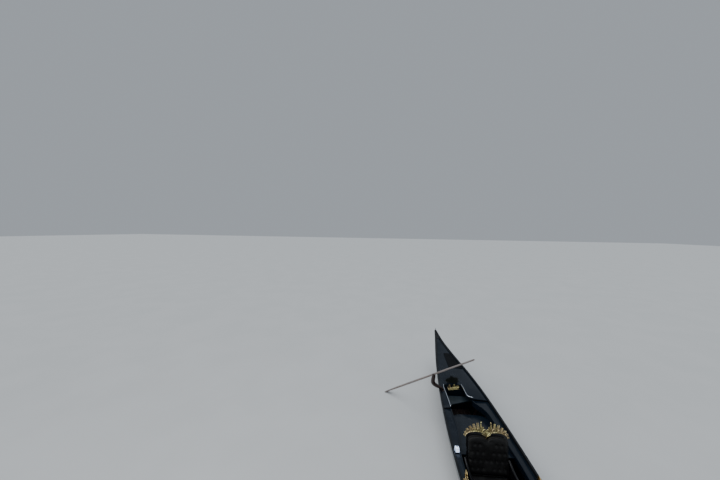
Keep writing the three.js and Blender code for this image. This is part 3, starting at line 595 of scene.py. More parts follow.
def lay_out_scuffs(nodes, entry):
    """Fine strokes along the boat, where varnish has been rubbed."""
    strokes = nodes.noise(entry["Scale"], 6.0, 0.7, (0.25, 2.2, 2.2))
    places = nodes.spread(nodes.noise(1.7, 2.0), 0.4, 0.65)
    fine = nodes.spread(strokes, 0.48, 0.72)
    return {"Scuffs": nodes.combine("MULTIPLY", fine, places)}


def lay_out_grain(nodes, entry):
    """Wood grain: long lines along X with slow waves."""
    waves = nodes.noise(entry["Scale"], 2.0, 0.5, (0.12, 1.0, 1.0))
    lines = nodes.noise(nodes.combine("MULTIPLY", entry["Scale"], 9.0), 5.0, 0.6, (0.05, 1.0, 1.0))
    slow = nodes.combine("MULTIPLY", waves, 0.5)
    fine = nodes.combine("MULTIPLY", lines, 0.5)
    return {"Grain": nodes.spread(nodes.combine("ADD", slow, fine), 0.35, 0.65), "Lines": lines}


def lay_out_tarnish(nodes, entry):
    """Dull patches on metal, with small dark specks in them."""
    patches = nodes.spread(nodes.noise(entry["Scale"], 4.0, 0.6), 0.42, 0.68)
    small = nodes.noise(nodes.combine("MULTIPLY", entry["Scale"], 7.0), 2.0)
    specks = nodes.spread(small, 0.55, 0.75)
    dull = nodes.combine("MULTIPLY", patches, 0.75)
    dark = nodes.combine("MULTIPLY", specks, 0.35)
    return {"Tarnish": nodes.combine("MINIMUM", nodes.combine("ADD", dull, dark), 1.0)}


def lay_out_pores(nodes, entry):
    """Creases and pores of leather."""
    cells = nodes.add("ShaderNodeTexVoronoi", feature="DISTANCE_TO_EDGE")
    nodes.feed(nodes.object_place(), cells.inputs["Vector"])
    nodes.feed(entry["Scale"], cells.inputs["Scale"])
    creases = nodes.spread(cells.outputs["Distance"], 0.0, 0.16)
    low = nodes.combine("MULTIPLY", creases, 0.5)
    soft = nodes.combine("MULTIPLY", nodes.noise(14.0, 3.0), 0.8)
    return {"Height": nodes.combine("ADD", low, soft), "Creases": creases}


def lay_out_hollows(nodes, entry):
    """Carved hollows and corners, found by ambient occlusion: grime where polish never reaches on brass,
    painted shade on the gilding.
    """
    shade = nodes.add("ShaderNodeAmbientOcclusion", {"Distance": entry["Reach"]}, samples=8)
    return {"Hollow": nodes.spread(shade.outputs["AO"], 0.25, 0.8, 1.0, 0.0)}


DUST = shader_group("dust", {"Scale": 5.0, "Amount": 0.5}, ["Dust"], lay_out_dust)
SCUFFS = shader_group("scuffs", {"Scale": 24.0}, ["Scuffs"], lay_out_scuffs)
GRAIN = shader_group("grain", {"Scale": 4.0}, ["Grain", "Lines"], lay_out_grain)
TARNISH = shader_group("tarnish", {"Scale": 18.0}, ["Tarnish"], lay_out_tarnish)
PORES = shader_group("pores", {"Scale": 260.0}, ["Height", "Creases"], lay_out_pores)
HOLLOWS = shader_group("hollows", {"Reach": 0.02}, ["Hollow"], lay_out_hollows)


# Finishes.


def new_material(name, values, build):
    """A material with plain values on its shader, and a function that joins what varies."""
    material = bpy.data.materials.new(name)
    material.use_nodes = True
    nodes = Nodes(material.node_tree)
    shader = material.node_tree.nodes["Principled BSDF"]
    for socket, value in values.items():
        shader.inputs[socket].default_value = value
    for socket, value in build(nodes).items():
        nodes.feed(value, shader.inputs[socket])
    return material


def lacquer(name, base, rubbed, dusty, dust=0.2, roughness=(0.13, 0.3), coat=0.15):
    """Gloss paint: brushed on in many coats, rubbed in places, a little dusty on top."""

    def build(nodes):
        scuffs = nodes.group(SCUFFS, Scale=24.0)["Scuffs"]
        settled = nodes.group(DUST, Scale=6.0, Amount=dust)["Dust"]
        worn = nodes.blend(scuffs, base, rubbed)
        shine = nodes.spread(scuffs, 0.0, 1.0, roughness[0], roughness[1])
        brushed = nodes.noise(9.0, 2.0, 0.5, (0.2, 1.6, 1.6))
        return {
            "Base Color": nodes.blend(settled, worn, dusty),
            "Roughness": nodes.combine("ADD", shine, nodes.combine("MULTIPLY", settled, 0.35)),
            "Normal": nodes.bump(brushed, 0.05, 0.004),
        }

    return new_material(name, {"Coat Weight": coat, "Coat Roughness": 0.1, "IOR": 1.38}, build)


def timber(name, dark, light, roughness, scale, dust=0.0):
    """Wood with grain along the boat."""

    def build(nodes):
        grain = nodes.group(GRAIN, Scale=scale)
        settled = nodes.group(DUST, Scale=9.0, Amount=dust)["Dust"]
        wood = nodes.blend(grain["Grain"], dark, light)
        grey = tuple(0.5 * part + 0.08 for part in light[:3]) + (1.0,)
        return {
            "Base Color": nodes.blend(settled, wood, grey),
            "Roughness": nodes.spread(grain["Lines"], 0.3, 0.7, roughness[0], roughness[1]),
            "Normal": nodes.bump(grain["Lines"], 0.18, 0.0012),
        }

    return new_material(name, {}, build)


def oar_timber(name, dark, light, grey):
    """Pale wood with grain that runs down the oar, greyed in places."""

    def build(nodes):
        inputs = {"Vector": nodes.along_the_oar(), "Scale": 40.0, "Detail": 5.0, "Roughness": 0.6}
        lines = nodes.add("ShaderNodeTexNoise", inputs).outputs["Fac"]
        worn = nodes.spread(nodes.noise(1.6, 2.0), 0.42, 0.62)
        wood = nodes.blend(nodes.spread(lines, 0.35, 0.65), dark, light)
        return {
            "Base Color": nodes.blend(nodes.combine("MULTIPLY", worn, 0.5), wood, grey),
            "Roughness": nodes.spread(lines, 0.3, 0.7, 0.42, 0.6),
            "Normal": nodes.bump(lines, 0.15, 0.001),
        }

    return new_material(name, {}, build)


def metal(name, bright, dull, roughness, tarnish_scale, grime=None):
    """Polished metal with dull patches, and with grime in its hollows where that is given."""

    def build(nodes):
        tarnish = nodes.group(TARNISH, Scale=tarnish_scale)["Tarnish"]
        colour = nodes.blend(tarnish, bright, dull)
        if grime:
            colour = nodes.blend(nodes.group(HOLLOWS, Reach=0.015)["Hollow"], colour, grime)
        return {
            "Base Color": colour,
            "Roughness": nodes.spread(tarnish, 0.0, 1.0, roughness[0], roughness[1]),
            "Normal": nodes.bump(nodes.noise(60.0, 3.0), 0.12, 0.001),
        }

    return new_material(name, {"Metallic": 1.0}, build)


def gold_leaf(name, pale, coppery, worn, ground_shade):
    """Old gold leaf on carved wood: pale and coppery by turns, and dark, dull and less metallic in the
    hollows as painted shade.
    """

    def build(nodes):
        turns = nodes.spread(nodes.noise(5.5, 2.0), 0.40, 0.60)
        tarnish = nodes.group(TARNISH, Scale=26.0)["Tarnish"]
        leaf = nodes.blend(tarnish, nodes.blend(turns, pale, coppery), worn)
        hollow = nodes.group(HOLLOWS, Reach=0.03)["Hollow"]
        shine = nodes.spread(tarnish, 0.0, 1.0, 0.30, 0.52)
        return {
            # Painted shade: the hollows take the dark ground colour.
            "Base Color": nodes.blend(hollow, leaf, ground_shade),
            "Metallic": nodes.spread(hollow, 0.3, 1.0, 1.0, 0.2),
            "Roughness": nodes.combine("ADD", shine, nodes.combine("MULTIPLY", hollow, 0.3)),
            "Normal": nodes.bump(nodes.noise(90.0, 3.0), 0.2, 0.001),
        }

    return new_material(name, {}, build)


def leather(name, base, crease):
    """Soft black leather with fine creases, painted darker in them as shade."""

    def build(nodes):
        pores = nodes.group(PORES, Scale=240.0)
        rubbed = nodes.spread(nodes.noise(6.0, 3.0), 0.4, 0.7)
        return {
            # Painted shade: the creases take the darker colour.
            "Base Color": nodes.blend(pores["Creases"], crease, base),
            "Roughness": nodes.spread(rubbed, 0.0, 1.0, 0.42, 0.60),
            "Normal": nodes.bump(pores["Height"], 0.35, 0.0012),
        }

    return new_material(name, {"Specular IOR Level": 0.32}, build)


def rubber(name, base, dusty):
    """Matt rubber mat with trodden dust in it."""

    def build(nodes):
        settled = nodes.group(DUST, Scale=7.0, Amount=0.55)["Dust"]
        speckle = nodes.noise(420.0, 2.0)
        return {
            "Base Color": nodes.blend(settled, base, dusty),
            "Roughness": nodes.spread(settled, 0.0, 1.0, 0.72, 0.92),
            "Normal": nodes.bump(speckle, 0.4, 0.001),
        }

    return new_material(name, {"Specular IOR Level": 0.22}, build)


def milky_glass(name, base, glow, brightest, strength):
    """Clouded lamp glass, lit from inside."""

    def build(nodes):
        cloud = nodes.spread(nodes.noise(22.0, 2.0), 0.3, 0.7)
        return {
            "Base Color": nodes.blend(cloud, base, glow),
            "Emission Color": nodes.blend(cloud, glow, brightest),
            "Roughness": nodes.spread(cloud, 0.0, 1.0, 0.18, 0.3),
        }

    return new_material(name, {"Emission Strength": strength}, build)


def studio_paint(name, first, second):
    """Matt paint with broad, faint clouds."""

    def build(nodes):
        cloud = nodes.spread(nodes.noise(0.6, 2.0), 0.3, 0.7)
        return {"Base Color": nodes.blend(cloud, first, second)}

    return new_material(name, {"Roughness": 0.9}, build)


HULL_BLACK = lacquer(
    "hull_black",
    base=(0.004, 0.0045, 0.0055, 1),
    rubbed=(0.012, 0.013, 0.015, 1),
    dusty=(0.03, 0.032, 0.035, 1),
    dust=0.3,
)
# Black deck lacquer with its colours tinted blue: a painted reflection of the sky.
DECK_BLACK_SKY_TINT = lacquer(
    "deck_black_painted_sky",
    base=(0.003, 0.0065, 0.012, 1),
    rubbed=(0.010, 0.016, 0.024, 1),
    dusty=(0.02, 0.028, 0.038, 1),
    roughness=(0.2, 0.4),
    coat=0.04,
)
# Satin paint for the thwarts. Its lighter teal colours are painted skylight; the rough satin finish and the
# dust are real.
THWART_SATIN_SKYLIT = lacquer(
    "thwart_satin_painted_skylight",
    base=(0.008, 0.015, 0.021, 1),
    rubbed=(0.018, 0.028, 0.035, 1),
    dusty=(0.04, 0.05, 0.058, 1),
    dust=0.45,
    roughness=(0.45, 0.62),
    coat=0.0,
)
# Pale paint for the gunwale caps' rounded outer edge: a painted highlight.
CAP_EDGE_HIGHLIGHT = lacquer(
    "cap_edge_painted_highlight",
    base=(0.16, 0.175, 0.18, 1),
    rubbed=(0.28, 0.30, 0.30, 1),
    dusty=(0.2, 0.2, 0.2, 1),
    roughness=(0.3, 0.5),
)
SEAT_BLACK = lacquer(
    "seat_black",
    base=(0.004, 0.004, 0.005, 1),
    rubbed=(0.014, 0.012, 0.012, 1),
    dusty=(0.03, 0.03, 0.03, 1),
)
LEAVES = lacquer(
    "leaf_green",
    base=(0.0015, 0.003, 0.0015, 1),
    rubbed=(0.005, 0.009, 0.004, 1),
    dusty=(0.01, 0.012, 0.01, 1),
    roughness=(0.5, 0.7),
    coat=0.0,
)
INNER_WOOD = timber(
    "inner_wood",
    dark=(0.007, 0.003, 0.003, 1),
    light=(0.020, 0.008, 0.0065, 1),
    roughness=(0.34, 0.6),
    scale=5.0,
    dust=0.25,
)
WALNUT = timber(
    "walnut",
    dark=(0.008, 0.0035, 0.003, 1),
    light=(0.030, 0.012, 0.0085, 1),
    roughness=(0.26, 0.42),
    scale=9.0,
)
# Dark red-brown wood for the plate behind the crest: painted shade in the gaps between its leaves and
# scrolls.
CREST_GROUND_SHADE = timber(
    "crest_ground_painted_shade",
    dark=(0.010, 0.0035, 0.003, 1),
    light=(0.035, 0.012, 0.007, 1),
    roughness=(0.4, 0.6),
    scale=12.0,
)
OAR_WOOD = oar_timber(
    "oar_wood",
    dark=(0.13, 0.105, 0.095, 1),
    light=(0.25, 0.21, 0.19, 1),
    grey=(0.20, 0.19, 0.19, 1),
)
# Gold leaf with its hollows painted dark as shade.
GILDING = gold_leaf(
    "gilding",
    pale=(0.70, 0.64, 0.32, 1),
    coppery=(0.60, 0.49, 0.29, 1),
    worn=(0.25, 0.17, 0.06, 1),
    ground_shade=(0.022, 0.008, 0.005, 1),
)
BRASS = metal(
    "brass",
    bright=(0.80, 0.62, 0.30, 1),
    dull=(0.45, 0.30, 0.12, 1),
    roughness=(0.16, 0.4),
    tarnish_scale=14.0,
    grime=(0.05, 0.025, 0.01, 1),
)
IRON = metal(
    "polished_iron",
    bright=(0.48, 0.49, 0.50, 1),
    dull=(0.20, 0.20, 0.21, 1),
    roughness=(0.16, 0.36),
    tarnish_scale=5.0,
)
BRIGHT_METAL = metal(
    "bright_rail",
    bright=(0.80, 0.84, 0.90, 1),
    dull=(0.52, 0.55, 0.60, 1),
    roughness=(0.14, 0.3),
    tarnish_scale=10.0,
)
DARK_METAL = metal(
    "lamp_metal",
    bright=(0.06, 0.065, 0.075, 1),
    dull=(0.03, 0.03, 0.032, 1),
    roughness=(0.3, 0.5),
    tarnish_scale=30.0,
)
# Black leathers, their creases painted darker as shade.
LEATHER = leather("black_leather", base=(0.0055, 0.0052, 0.0055, 1), crease=(0.003, 0.003, 0.003, 1))
PIPING = leather("piping_leather", base=(0.0050, 0.0048, 0.0050, 1), crease=(0.003, 0.003, 0.003, 1))
RUBBER = rubber("mat_rubber", base=(0.0015, 0.0025, 0.004, 1), dusty=(0.006, 0.008, 0.011, 1))
LAMP_GLASS = milky_glass(
    "lamp_glass",
    base=(0.82, 0.88, 0.97, 1),
    glow=(0.50, 0.66, 1.0, 1),
    brightest=(0.75, 0.84, 1.0, 1),
    strength=1.25,
)
PALE_FLOOR = studio_paint("pale_floor", (0.53, 0.54, 0.545, 1), (0.55, 0.56, 0.565, 1))


# Hull.

# Band of each gunwale cap that takes the pale painted highlight: station length, width in from the outer
# edge, least tilt of its faces up and out.
HIGHLIGHT_STATION = 0.06
HIGHLIGHT_WIDTH = 0.022
HIGHLIGHT_TILT = 0.2


def make_hull():
    """Planking, posts and gunwale caps, faired into smooth curves."""
    for node in PLANKING:
        faired(node, "fair_" + node, HULL_BLACK)
    for node in ("stern_post", "stem_post"):
        faired(node, "fair_" + node, HULL_BLACK, levels=1)
    for side, sign in SIDES.items():
        cap = faired("gunwale_cap_" + side, "rounded_cap_" + side, HULL_BLACK, crease=0.55)
        # A pale painted highlight along the cap's outer upper edge.
        cap.data.materials.append(CAP_EDGE_HIGHLIGHT)
        paint_edge_highlight(cap, sign)


def paint_edge_highlight(cap, sign):
    """Give the cap's outer upper edge its second finish: a pale painted highlight along the rounded edge.
    """
    outermost = {}
    for vertex in cap.data.vertices:
        station = round(vertex.co.x / HIGHLIGHT_STATION)
        outermost[station] = max(outermost.get(station, -1.0), vertex.co.y * sign)
    for face in cap.data.polygons:
        inboard = outermost.get(round(face.center.x / HIGHLIGHT_STATION), 0.0) - face.center.y * sign
        if inboard < HIGHLIGHT_WIDTH and face.normal.z > HIGHLIGHT_TILT and face.normal.y * sign > HIGHLIGHT_TILT:
            face.material_index = 1


# Painted pieces that keep their CAD shape. Columns: node, paint, width of its rounded edges, steps in them.
PAINTED = (
    ("stern_deck", DECK_BLACK_SKY_TINT, 0.004, 2),
    ("bow_deck", DECK_BLACK_SKY_TINT, 0.004, 2),
    ("side_deck_starboard", DECK_BLACK_SKY_TINT, 0.005, 3),
    ("side_deck_port", DECK_BLACK_SKY_TINT, 0.005, 3),
    ("stern_bulkhead", DECK_BLACK_SKY_TINT, 0.003, 3),
    ("bow_bulkhead", DECK_BLACK_SKY_TINT, 0.003, 3),
    ("stern_thwart", THWART_SATIN_SKYLIT, 0.006, 3),
    ("bow_thwart", THWART_SATIN_SKYLIT, 0.006, 3),
    ("rear_platform", DECK_BLACK_SKY_TINT, 0.006, 3),
)


def make_decks_and_frames():
    """Decks, bulkheads, thwarts, platform and frames, with eased edges."""
    for node, paint, width, segments in PAINTED:
        eased(node, paint, width, segments)
    eased("frames", INNER_WOOD, 0.004)


BOARD_WIDTH = 0.105
BOARD_SEAM = 0.004
BOARD_EASE = 0.0025


def saw_board(node, name, right, left):
    """One board of a floor, between two sawn edges."""
    board = cad_copy(node, name)
    for edge, normal in ((right, (0, -1, 0)), (left, (0, 1, 0))):
        open_mesh(board)
        bpy.ops.mesh.bisect(plane_co=(0, edge, 0), plane_no=normal, use_fill=True, clear_outer=True)
        close_mesh()
    return board


def make_floor_boards():
    """Each floor cut lengthwise into boards with open seams."""
    for node in ("stern_floor", "passenger_floor"):
        low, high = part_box(node)
        count = max(2, round((high.y - low.y) / BOARD_WIDTH))
        pitch = (high.y - low.y) / count
        boards = []
        for i in range(count):
            right = low.y + i * pitch + BOARD_SEAM / 2
            left = low.y + (i + 1) * pitch - BOARD_SEAM / 2
            boards.append(saw_board(node, f"{node}_board_{i}", right, left))
        floor = unite(node + "_boards", boards)
        round_edges(floor, BOARD_EASE)
        smooth(floor)
        dress(floor, INNER_WOOD, stands_for=[node])


# Main seat and side chairs.


def make_seat_carcass():
    """Seat box and back board, each with a sunk panel, and the arms."""
    box = cad_copy("seat_box", "panelled_seat_box")
    sink_panel(box, facing=1, border=0.045, depth=0.01)
    round_edges(box, 0.005, 3)
    smooth(box)
    dress(box, SEAT_BLACK, stands_for=["seat_box"])
    board = cad_copy("seat_back_board", "moulded_back_board")
    sink_panel(board, facing=-1, border=0.035, depth=0.006)
    round_edges(board, 0.004)
    smooth(board)
    dress(board, SEAT_BLACK, stands_for=["seat_back_board"])
    for side in SIDES:
        eased("seat_arm_" + side, SEAT_BLACK, 0.012, 4, name="carved_arm_" + side)


def make_chairs():
    """Side chairs with eased edges."""
    for side in SIDES:
        eased("chair_" + side, SEAT_BLACK, 0.006, 3)


PAD_VOXEL = 0.009
PAD_PRESSURE = 4.0
PAD_FRAMES = 20
PAD_EDGE = 0.02


def swell(piece, cap):
    """Blow a remeshed pad up with cloth simulation, no point moving further than the cap."""
    rest = [vertex.co.copy() for vertex in piece.data.vertices]
    pick(piece)
    cloth = piece.modifiers.new("Cloth", "CLOTH")
    cloth.settings.use_pressure = True
    cloth.settings.uniform_pressure_force = PAD_PRESSURE
    cloth.settings.effector_weights.gravity = 0
    for number in range(1, PAD_FRAMES + 1):
        bpy.context.scene.frame_set(number)
    bpy.ops.object.modifier_apply(modifier=cloth.name)
    bpy.context.scene.frame_set(1)
    for vertex, start in zip(piece.data.vertices, rest):
        move = vertex.co - start
        if move.length > cap:
            vertex.co = start + move * (cap / move.length)


def pad(node, name, inset, cap):
    """A stuffed pad in the room of a CAD node, a little smaller before it swells."""
    piece = cad_copy(node, name)
    low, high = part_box(node)
    size = [1 - 2 * inset / (high[i] - low[i]) for i in range(3)]
    open_mesh(piece)
    bpy.ops.transform.resize(value=size, center_override=(low + high) / 2)
    close_mesh()
    round_edges(piece, PAD_EDGE, 3)
    apply_modifier(piece, "REMESH", mode="VOXEL", voxel_size=PAD_VOXEL)
    swell(piece, cap)
    subdivide(piece)
    smooth(piece, SOFT_ANGLE)
    dress(piece, LEATHER, stands_for=[node])
    return piece


# Piping: how far inside the sides of the cushion's CAD box it runs, the radius of its corners, its
# own radius. The swollen pads draw in further than that, so it stands off from them.
SEAT_PIPING = (0.004, 0.03, 0.0045)
CHAIR_PIPING = (0.003, 0.024, 0.0035)
SEAT_PIPING_OVER_FOOT = 0.022
SEAT_PIPING_UNDER_TOP = 0.026
CHAIR_PIPING_UNDER_TOP = 0.02
CORNER_STEPS = 4


def cushion_cord(name, node, height, inset, corner, radius):
    """A piping cord as large as a cushion's box less this inset, at one height, with round corners.

    Known fault: the turn that lays it level reverses Y, so it lies across the centreline from its
    cushion. A turn of the other sign would lay it round the cushion.
    """
    low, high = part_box(node)
    left = low.x + inset + corner
    right = high.x - inset - corner
    near = low.y + inset + corner
    far = high.y - inset - corner
    rows = []
    for x, y, start in ((right, far, 0), (left, far, 90), (left, near, 180), (right, near, 270)):
        for step in range(CORNER_STEPS + 1):
            angle = math.radians(start + 90 * step / CORNER_STEPS)
            rows.append((x + corner * math.cos(angle), y + corner * math.sin(angle), radius, radius))
    rows.append(rows[0])
    cord = sweep(name, rows)
    # Drawn in the XZ plane, then laid level, which brings its +Z to -Y.
    return place(cord, (0, 0, height), (math.pi / 2, 0, 0))


def make_cushions():
    """Seat cushion for two and the chairs' cushions, and piping made to the size of each."""
    pad("seat_cushion", "seat_cushion_pad", inset=0.012, cap=0.016)
    low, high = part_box("seat_cushion")
    cords = []
    for height in (low.z + SEAT_PIPING_OVER_FOOT, high.z - SEAT_PIPING_UNDER_TOP):
        cords.append(cushion_cord("seat_piping", "seat_cushion", height, *SEAT_PIPING))
    piping = unite("seat_piping", cords)
    smooth(piping, SOFT_ANGLE)
    dress(piping, PIPING)
    for side in SIDES:
        node = "chair_cushion_" + side
        pad(node, "chair_pad_" + side, inset=0.008, cap=0.010)
        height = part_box(node)[1].z - CHAIR_PIPING_UNDER_TOP
        cord = cushion_cord("chair_piping_" + side, node, height, *CHAIR_PIPING)
        smooth(cord, SOFT_ANGLE)
        dress(cord, PIPING)


# Seat back. What lies on it is drawn in an upright plane of its own, x across from the seat's
# middle and z up, and then set on the leaning back.


def set_on_back(piece, stand_off):
    """Turn a shape from its drawing plane onto the leaning back, its front this far forward."""
    front = BACK_BOARD_X - BACK_LEAN * (BACK_PIVOT_Z - CUSHION_TOP) + stand_off
    lean = Matrix.Rotation(-math.atan(BACK_LEAN), 4, "Y") @ Matrix.Rotation(math.pi / 2, 4, "Z")
    to_back = Matrix.Translation((front, SEAT_MIDDLE_Y, BACK_PIVOT_Z))
    piece.matrix_world = to_back @ lean @ Matrix.Translation((0, 0, -BACK_PIVOT_Z))
    return settle(piece)


def arch_height(distance):
    """Height of the back's edge at a distance from the seat's middle."""
    t = (distance - ARCH_HALF) / ARCH_HALF
    return ARCH_SPRING_Z + ARCH_RISE * math.sqrt(max(0.0, 1 - t * t))


def arch_angles():
    """Angles from one foot of an arch over its top to the other."""
    return [math.pi * (1 - step / ARCH_STEPS) for step in range(ARCH_STEPS + 1)]


def arch_point(middle, angle, out, up):
    """A point this far outside an arch at its feet, and this far above its top."""
    x = middle + (ARCH_HALF + out) * math.cos(angle)
    z = ARCH_SPRING_Z + (ARCH_RISE + up) * math.sin(angle)
    return x, z


def arch_rows(out, half, thickness, foot=None):
    """Rows of a bar along both arches, this far outside their edge, from a foot where one is given."""
    rows = []
    if foot is not None:
        rows.append((-2 * ARCH_HALF - out, foot, half, thickness))
    for middle in ARCH_MIDDLES:
        for angle in arch_angles():
            rows.append((*arch_point(middle, angle, out, out), half, thickness))
    if foot is not None:
        rows.append((2 * ARCH_HALF + out, foot, half, thickness))
    return rows


# Rows of buttons: height, and distances from the seat's middle.
BUTTON_ROWS = (
    (0.42, (0.10, 0.20, 0.30)),
    (0.56, (0.05, 0.15, 0.25, 0.35)),
    (0.70, (0.10, 0.20, 0.30)),
    (0.84, (0.15, 0.25)),
)
BUTTON_DEPTH = 0.014
BUTTON_PULL = 0.06
BUTTON_RADIUS = 0.011
BUTTON_FLATNESS = (0.45, 1, 1)
BUTTON_STAND = Vector((0.002, 0, 0))
PAD_FRONT = 0.09
BACK_PIPING_INSET = 0.021
BACK_PIPING_RADIUS = 0.005
BACK_PIPING_FOOT = 0.31
BACK_PIPING_STAND = 0.069


def press_in(piece, spot, depth, reach):
    """Pull one place of a pad's front in, the leather round it following."""
    pick(piece)
    index = min(piece.data.vertices, key=lambda vertex: (vertex.co - spot).length_squared).index
    bpy.ops.object.mode_set(mode="EDIT")
    bpy.ops.mesh.select_mode(type="VERT")
    bpy.ops.mesh.select_all(action="DESELECT")
    close_mesh()
    piece.data.vertices[index].select = True
    bpy.ops.object.mode_set(mode="EDIT")
    bpy.ops.transform.translate(
        value=(-depth, 0, 0),
        use_proportional_edit=True,
        proportional_edit_falloff="SHARP",
        proportional_size=reach,
    )
    close_mesh()
    return piece.data.vertices[index].co.copy()


def make_back():
    """Buttoned leather back with two arched places, its buttons and its piping."""
    back = pad("seat_back", "seat_back_pad", inset=0.010, cap=0.014)
    buttons = []
    for z, distances in BUTTON_ROWS:
        front = BACK_BOARD_X + PAD_FRONT - BACK_LEAN * (z - CUSHION_TOP)
        for distance in distances:
            for hand in HANDS:
                spot = Vector((front, SEAT_MIDDLE_Y + hand * distance, z))
                sunk = press_in(back, spot, BUTTON_DEPTH, BUTTON_PULL)
                buttons.append(ball("back_button", sunk + BUTTON_STAND, BUTTON_RADIUS, BUTTON_FLATNESS))
    smooth(back, SOFT_ANGLE)
    studs = unite("back_buttons", buttons)
    smooth(studs, SOFT_ANGLE)
    dress(studs, PIPING)
    rows = arch_rows(-BACK_PIPING_INSET, BACK_PIPING_RADIUS, BACK_PIPING_RADIUS, foot=BACK_PIPING_FOOT)
    piping = sweep("back_piping", rows)
    set_on_back(piping, BACK_PIPING_STAND)
    smooth(piping, SOFT_ANGLE)
    dress(piping, PIPING)


# Carved leaves of the crest, on each side of its middle.
# Columns: distance of the root and of the tip from the middle, height of the tip, width.
CREST_LEAVES = (
    (0.050, 0.058, 1.112, 0.026),
    (0.096, 0.094, 1.170, 0.026),
    (0.150, 0.160, 1.180, 0.040),
    (0.212, 0.238, 1.160, 0.045),
    (0.274, 0.310, 1.114, 0.045),
    (0.326, 0.372, 1.062, 0.041),
    (0.360, 0.416, 0.996, 0.034),
)
# Scrolls under the leaves. Columns: distance from the middle, height above the arch, size,
# and -1 where it curls towards the middle.
CREST_SCROLLS = (
    (0.078, 0.016, 0.070, -1),
    (0.112, 0.016, 0.070, 1),
    (0.180, 0.014, 0.054, -1),
    (0.214, 0.014, 0.054, 1),
    (0.272, 0.012, 0.052, -1),
    (0.306, 0.012, 0.050, 1),
    (0.352, 0.010, 0.044, 1),
)
# One leaf before it is stretched, and how far above the arch each leaf starts.
CREST_LEAF_LENGTH = 0.2
CREST_LEAF_WIDTH = 0.05
CREST_LEAF_THICKNESS = 0.011
CREST_LEAF_LIFT = 0.008
SCROLL_FOOT = 0.17
SCROLL_LEAN = 1.5
# How far the pieces stand behind the drawing plane, with a minus sign where they stand before it.
LEAF_DEPTH = 0.002
SCROLL_DEPTH = -0.012
BEAD_DEPTH = -0.010
SHELL_DEPTH = -0.008
# The knob over each arch's scrolls: distance from the middle, height, radius.
STEM_KNOB = (0.093, 1.180, 0.014)
# The volute at each end of the crest.
VOLUTE_DISTANCE = 0.388
VOLUTE_SIZE = 0.05
VOLUTE_FOOT = 0.2
VOLUTE_LEAN = 0.5
VOLUTE_WIDE = 0.7
VOLUTE_HIGH = 0.8
DIP_Z = 0.922
# The moulding: how far outside the arches it runs, its half-width and its half-thickness.
MOULDING = (0.010, 0.012, 0.017)
BEAD_OUT = 0.006
BEAD_UP = 0.024
BEAD_RADIUS = 0.0085
BEAD_ANGLES = range(8, 175, 8)
# The ground plate, at the arches' feet and what is added to it at their tops.
GROUND_OUT = 0.010
GROUND_OUT_MORE = 0.028
GROUND_HALF = 0.014
GROUND_HALF_MORE = 0.018
GROUND_THICKNESS = 0.005
CREST_STAND = -0.013
GROUND_STAND = -0.022
# Petals of the shell in the dip: their angles from upright, and one petal's rows.
SHELL_ANGLES = (-58, -39, -20, 0, 20, 39, 58)
SHELL_PETAL = (
    (0, 0, 0.003, 0.007),
    (0, 0.05, 0.010, 0.012),
    (0, 0.09, 0.013, 0.011),
    (0, 0.108, 0.004, 0.005),
)


def crest_mouldings():
    """The moulding along both arches, and the beads over it."""
    parts = [sweep("crest_moulding", arch_rows(*MOULDING))]
    for middle in ARCH_MIDDLES:
        for degrees in BEAD_ANGLES:
            x, z = arch_point(middle, math.radians(degrees), BEAD_OUT, BEAD_UP)
            parts.append(ball("crest_bead", (x, BEAD_DEPTH, z), BEAD_RADIUS, detail=1))
    return parts


def crest_side(hand, pattern):
    """Leaves cut from a pattern, scrolls, knob and end volute on one side of the middle."""
    parts = []
    for root, tip, height, width in CREST_LEAVES:
        foot = arch_height(root) + CREST_LEAF_LIFT
        length = math.hypot(tip - root, height - foot)
        turn = hand * math.atan2(tip - root, height - foot)
        leaf = copy_of(pattern, "crest_leaf")
        stretch = (hand * width / CREST_LEAF_WIDTH, 1, length / CREST_LEAF_LENGTH)
        parts.append(place(leaf, (hand * root, LEAF_DEPTH, foot), (0, turn, 0), stretch))
    for distance, lift, size, way in CREST_SCROLLS:
        curl = scroll("crest_curl", size, SCROLL_FOOT)
        spot = (hand * distance, SCROLL_DEPTH, arch_height(distance) + lift)
        turn = hand * (distance - ARCH_HALF) * SCROLL_LEAN
        parts.append(place(curl, spot, (0, turn, 0), (hand * way, 1, 1)))
    distance, height, radius = STEM_KNOB
    parts.append(ball("crest_knob", (hand * distance, 0, height), radius))
    volute = scroll("crest_volute", VOLUTE_SIZE, VOLUTE_FOOT)
    spot = (hand * VOLUTE_DISTANCE, 0, DIP_Z)
    parts.append(place(volute, spot, (0, hand * VOLUTE_LEAN, 0), (hand * VOLUTE_WIDE, 1, VOLUTE_HIGH)))
    return parts


def crest_ground():
    """Ground plate behind the carving, broadest at the top of each arch; its dark red-brown is painted
    shade in the gaps of the carving.
    """
    rows = []
    for middle in ARCH_MIDDLES:
        for angle in arch_angles():
            rise = math.sin(angle)
            out = GROUND_OUT + GROUND_OUT_MORE * rise
            half = GROUND_HALF + GROUND_HALF_MORE * rise
            rows.append((*arch_point(middle, angle, out, out), half, GROUND_THICKNESS))
    return sweep("crest_ground", rows)


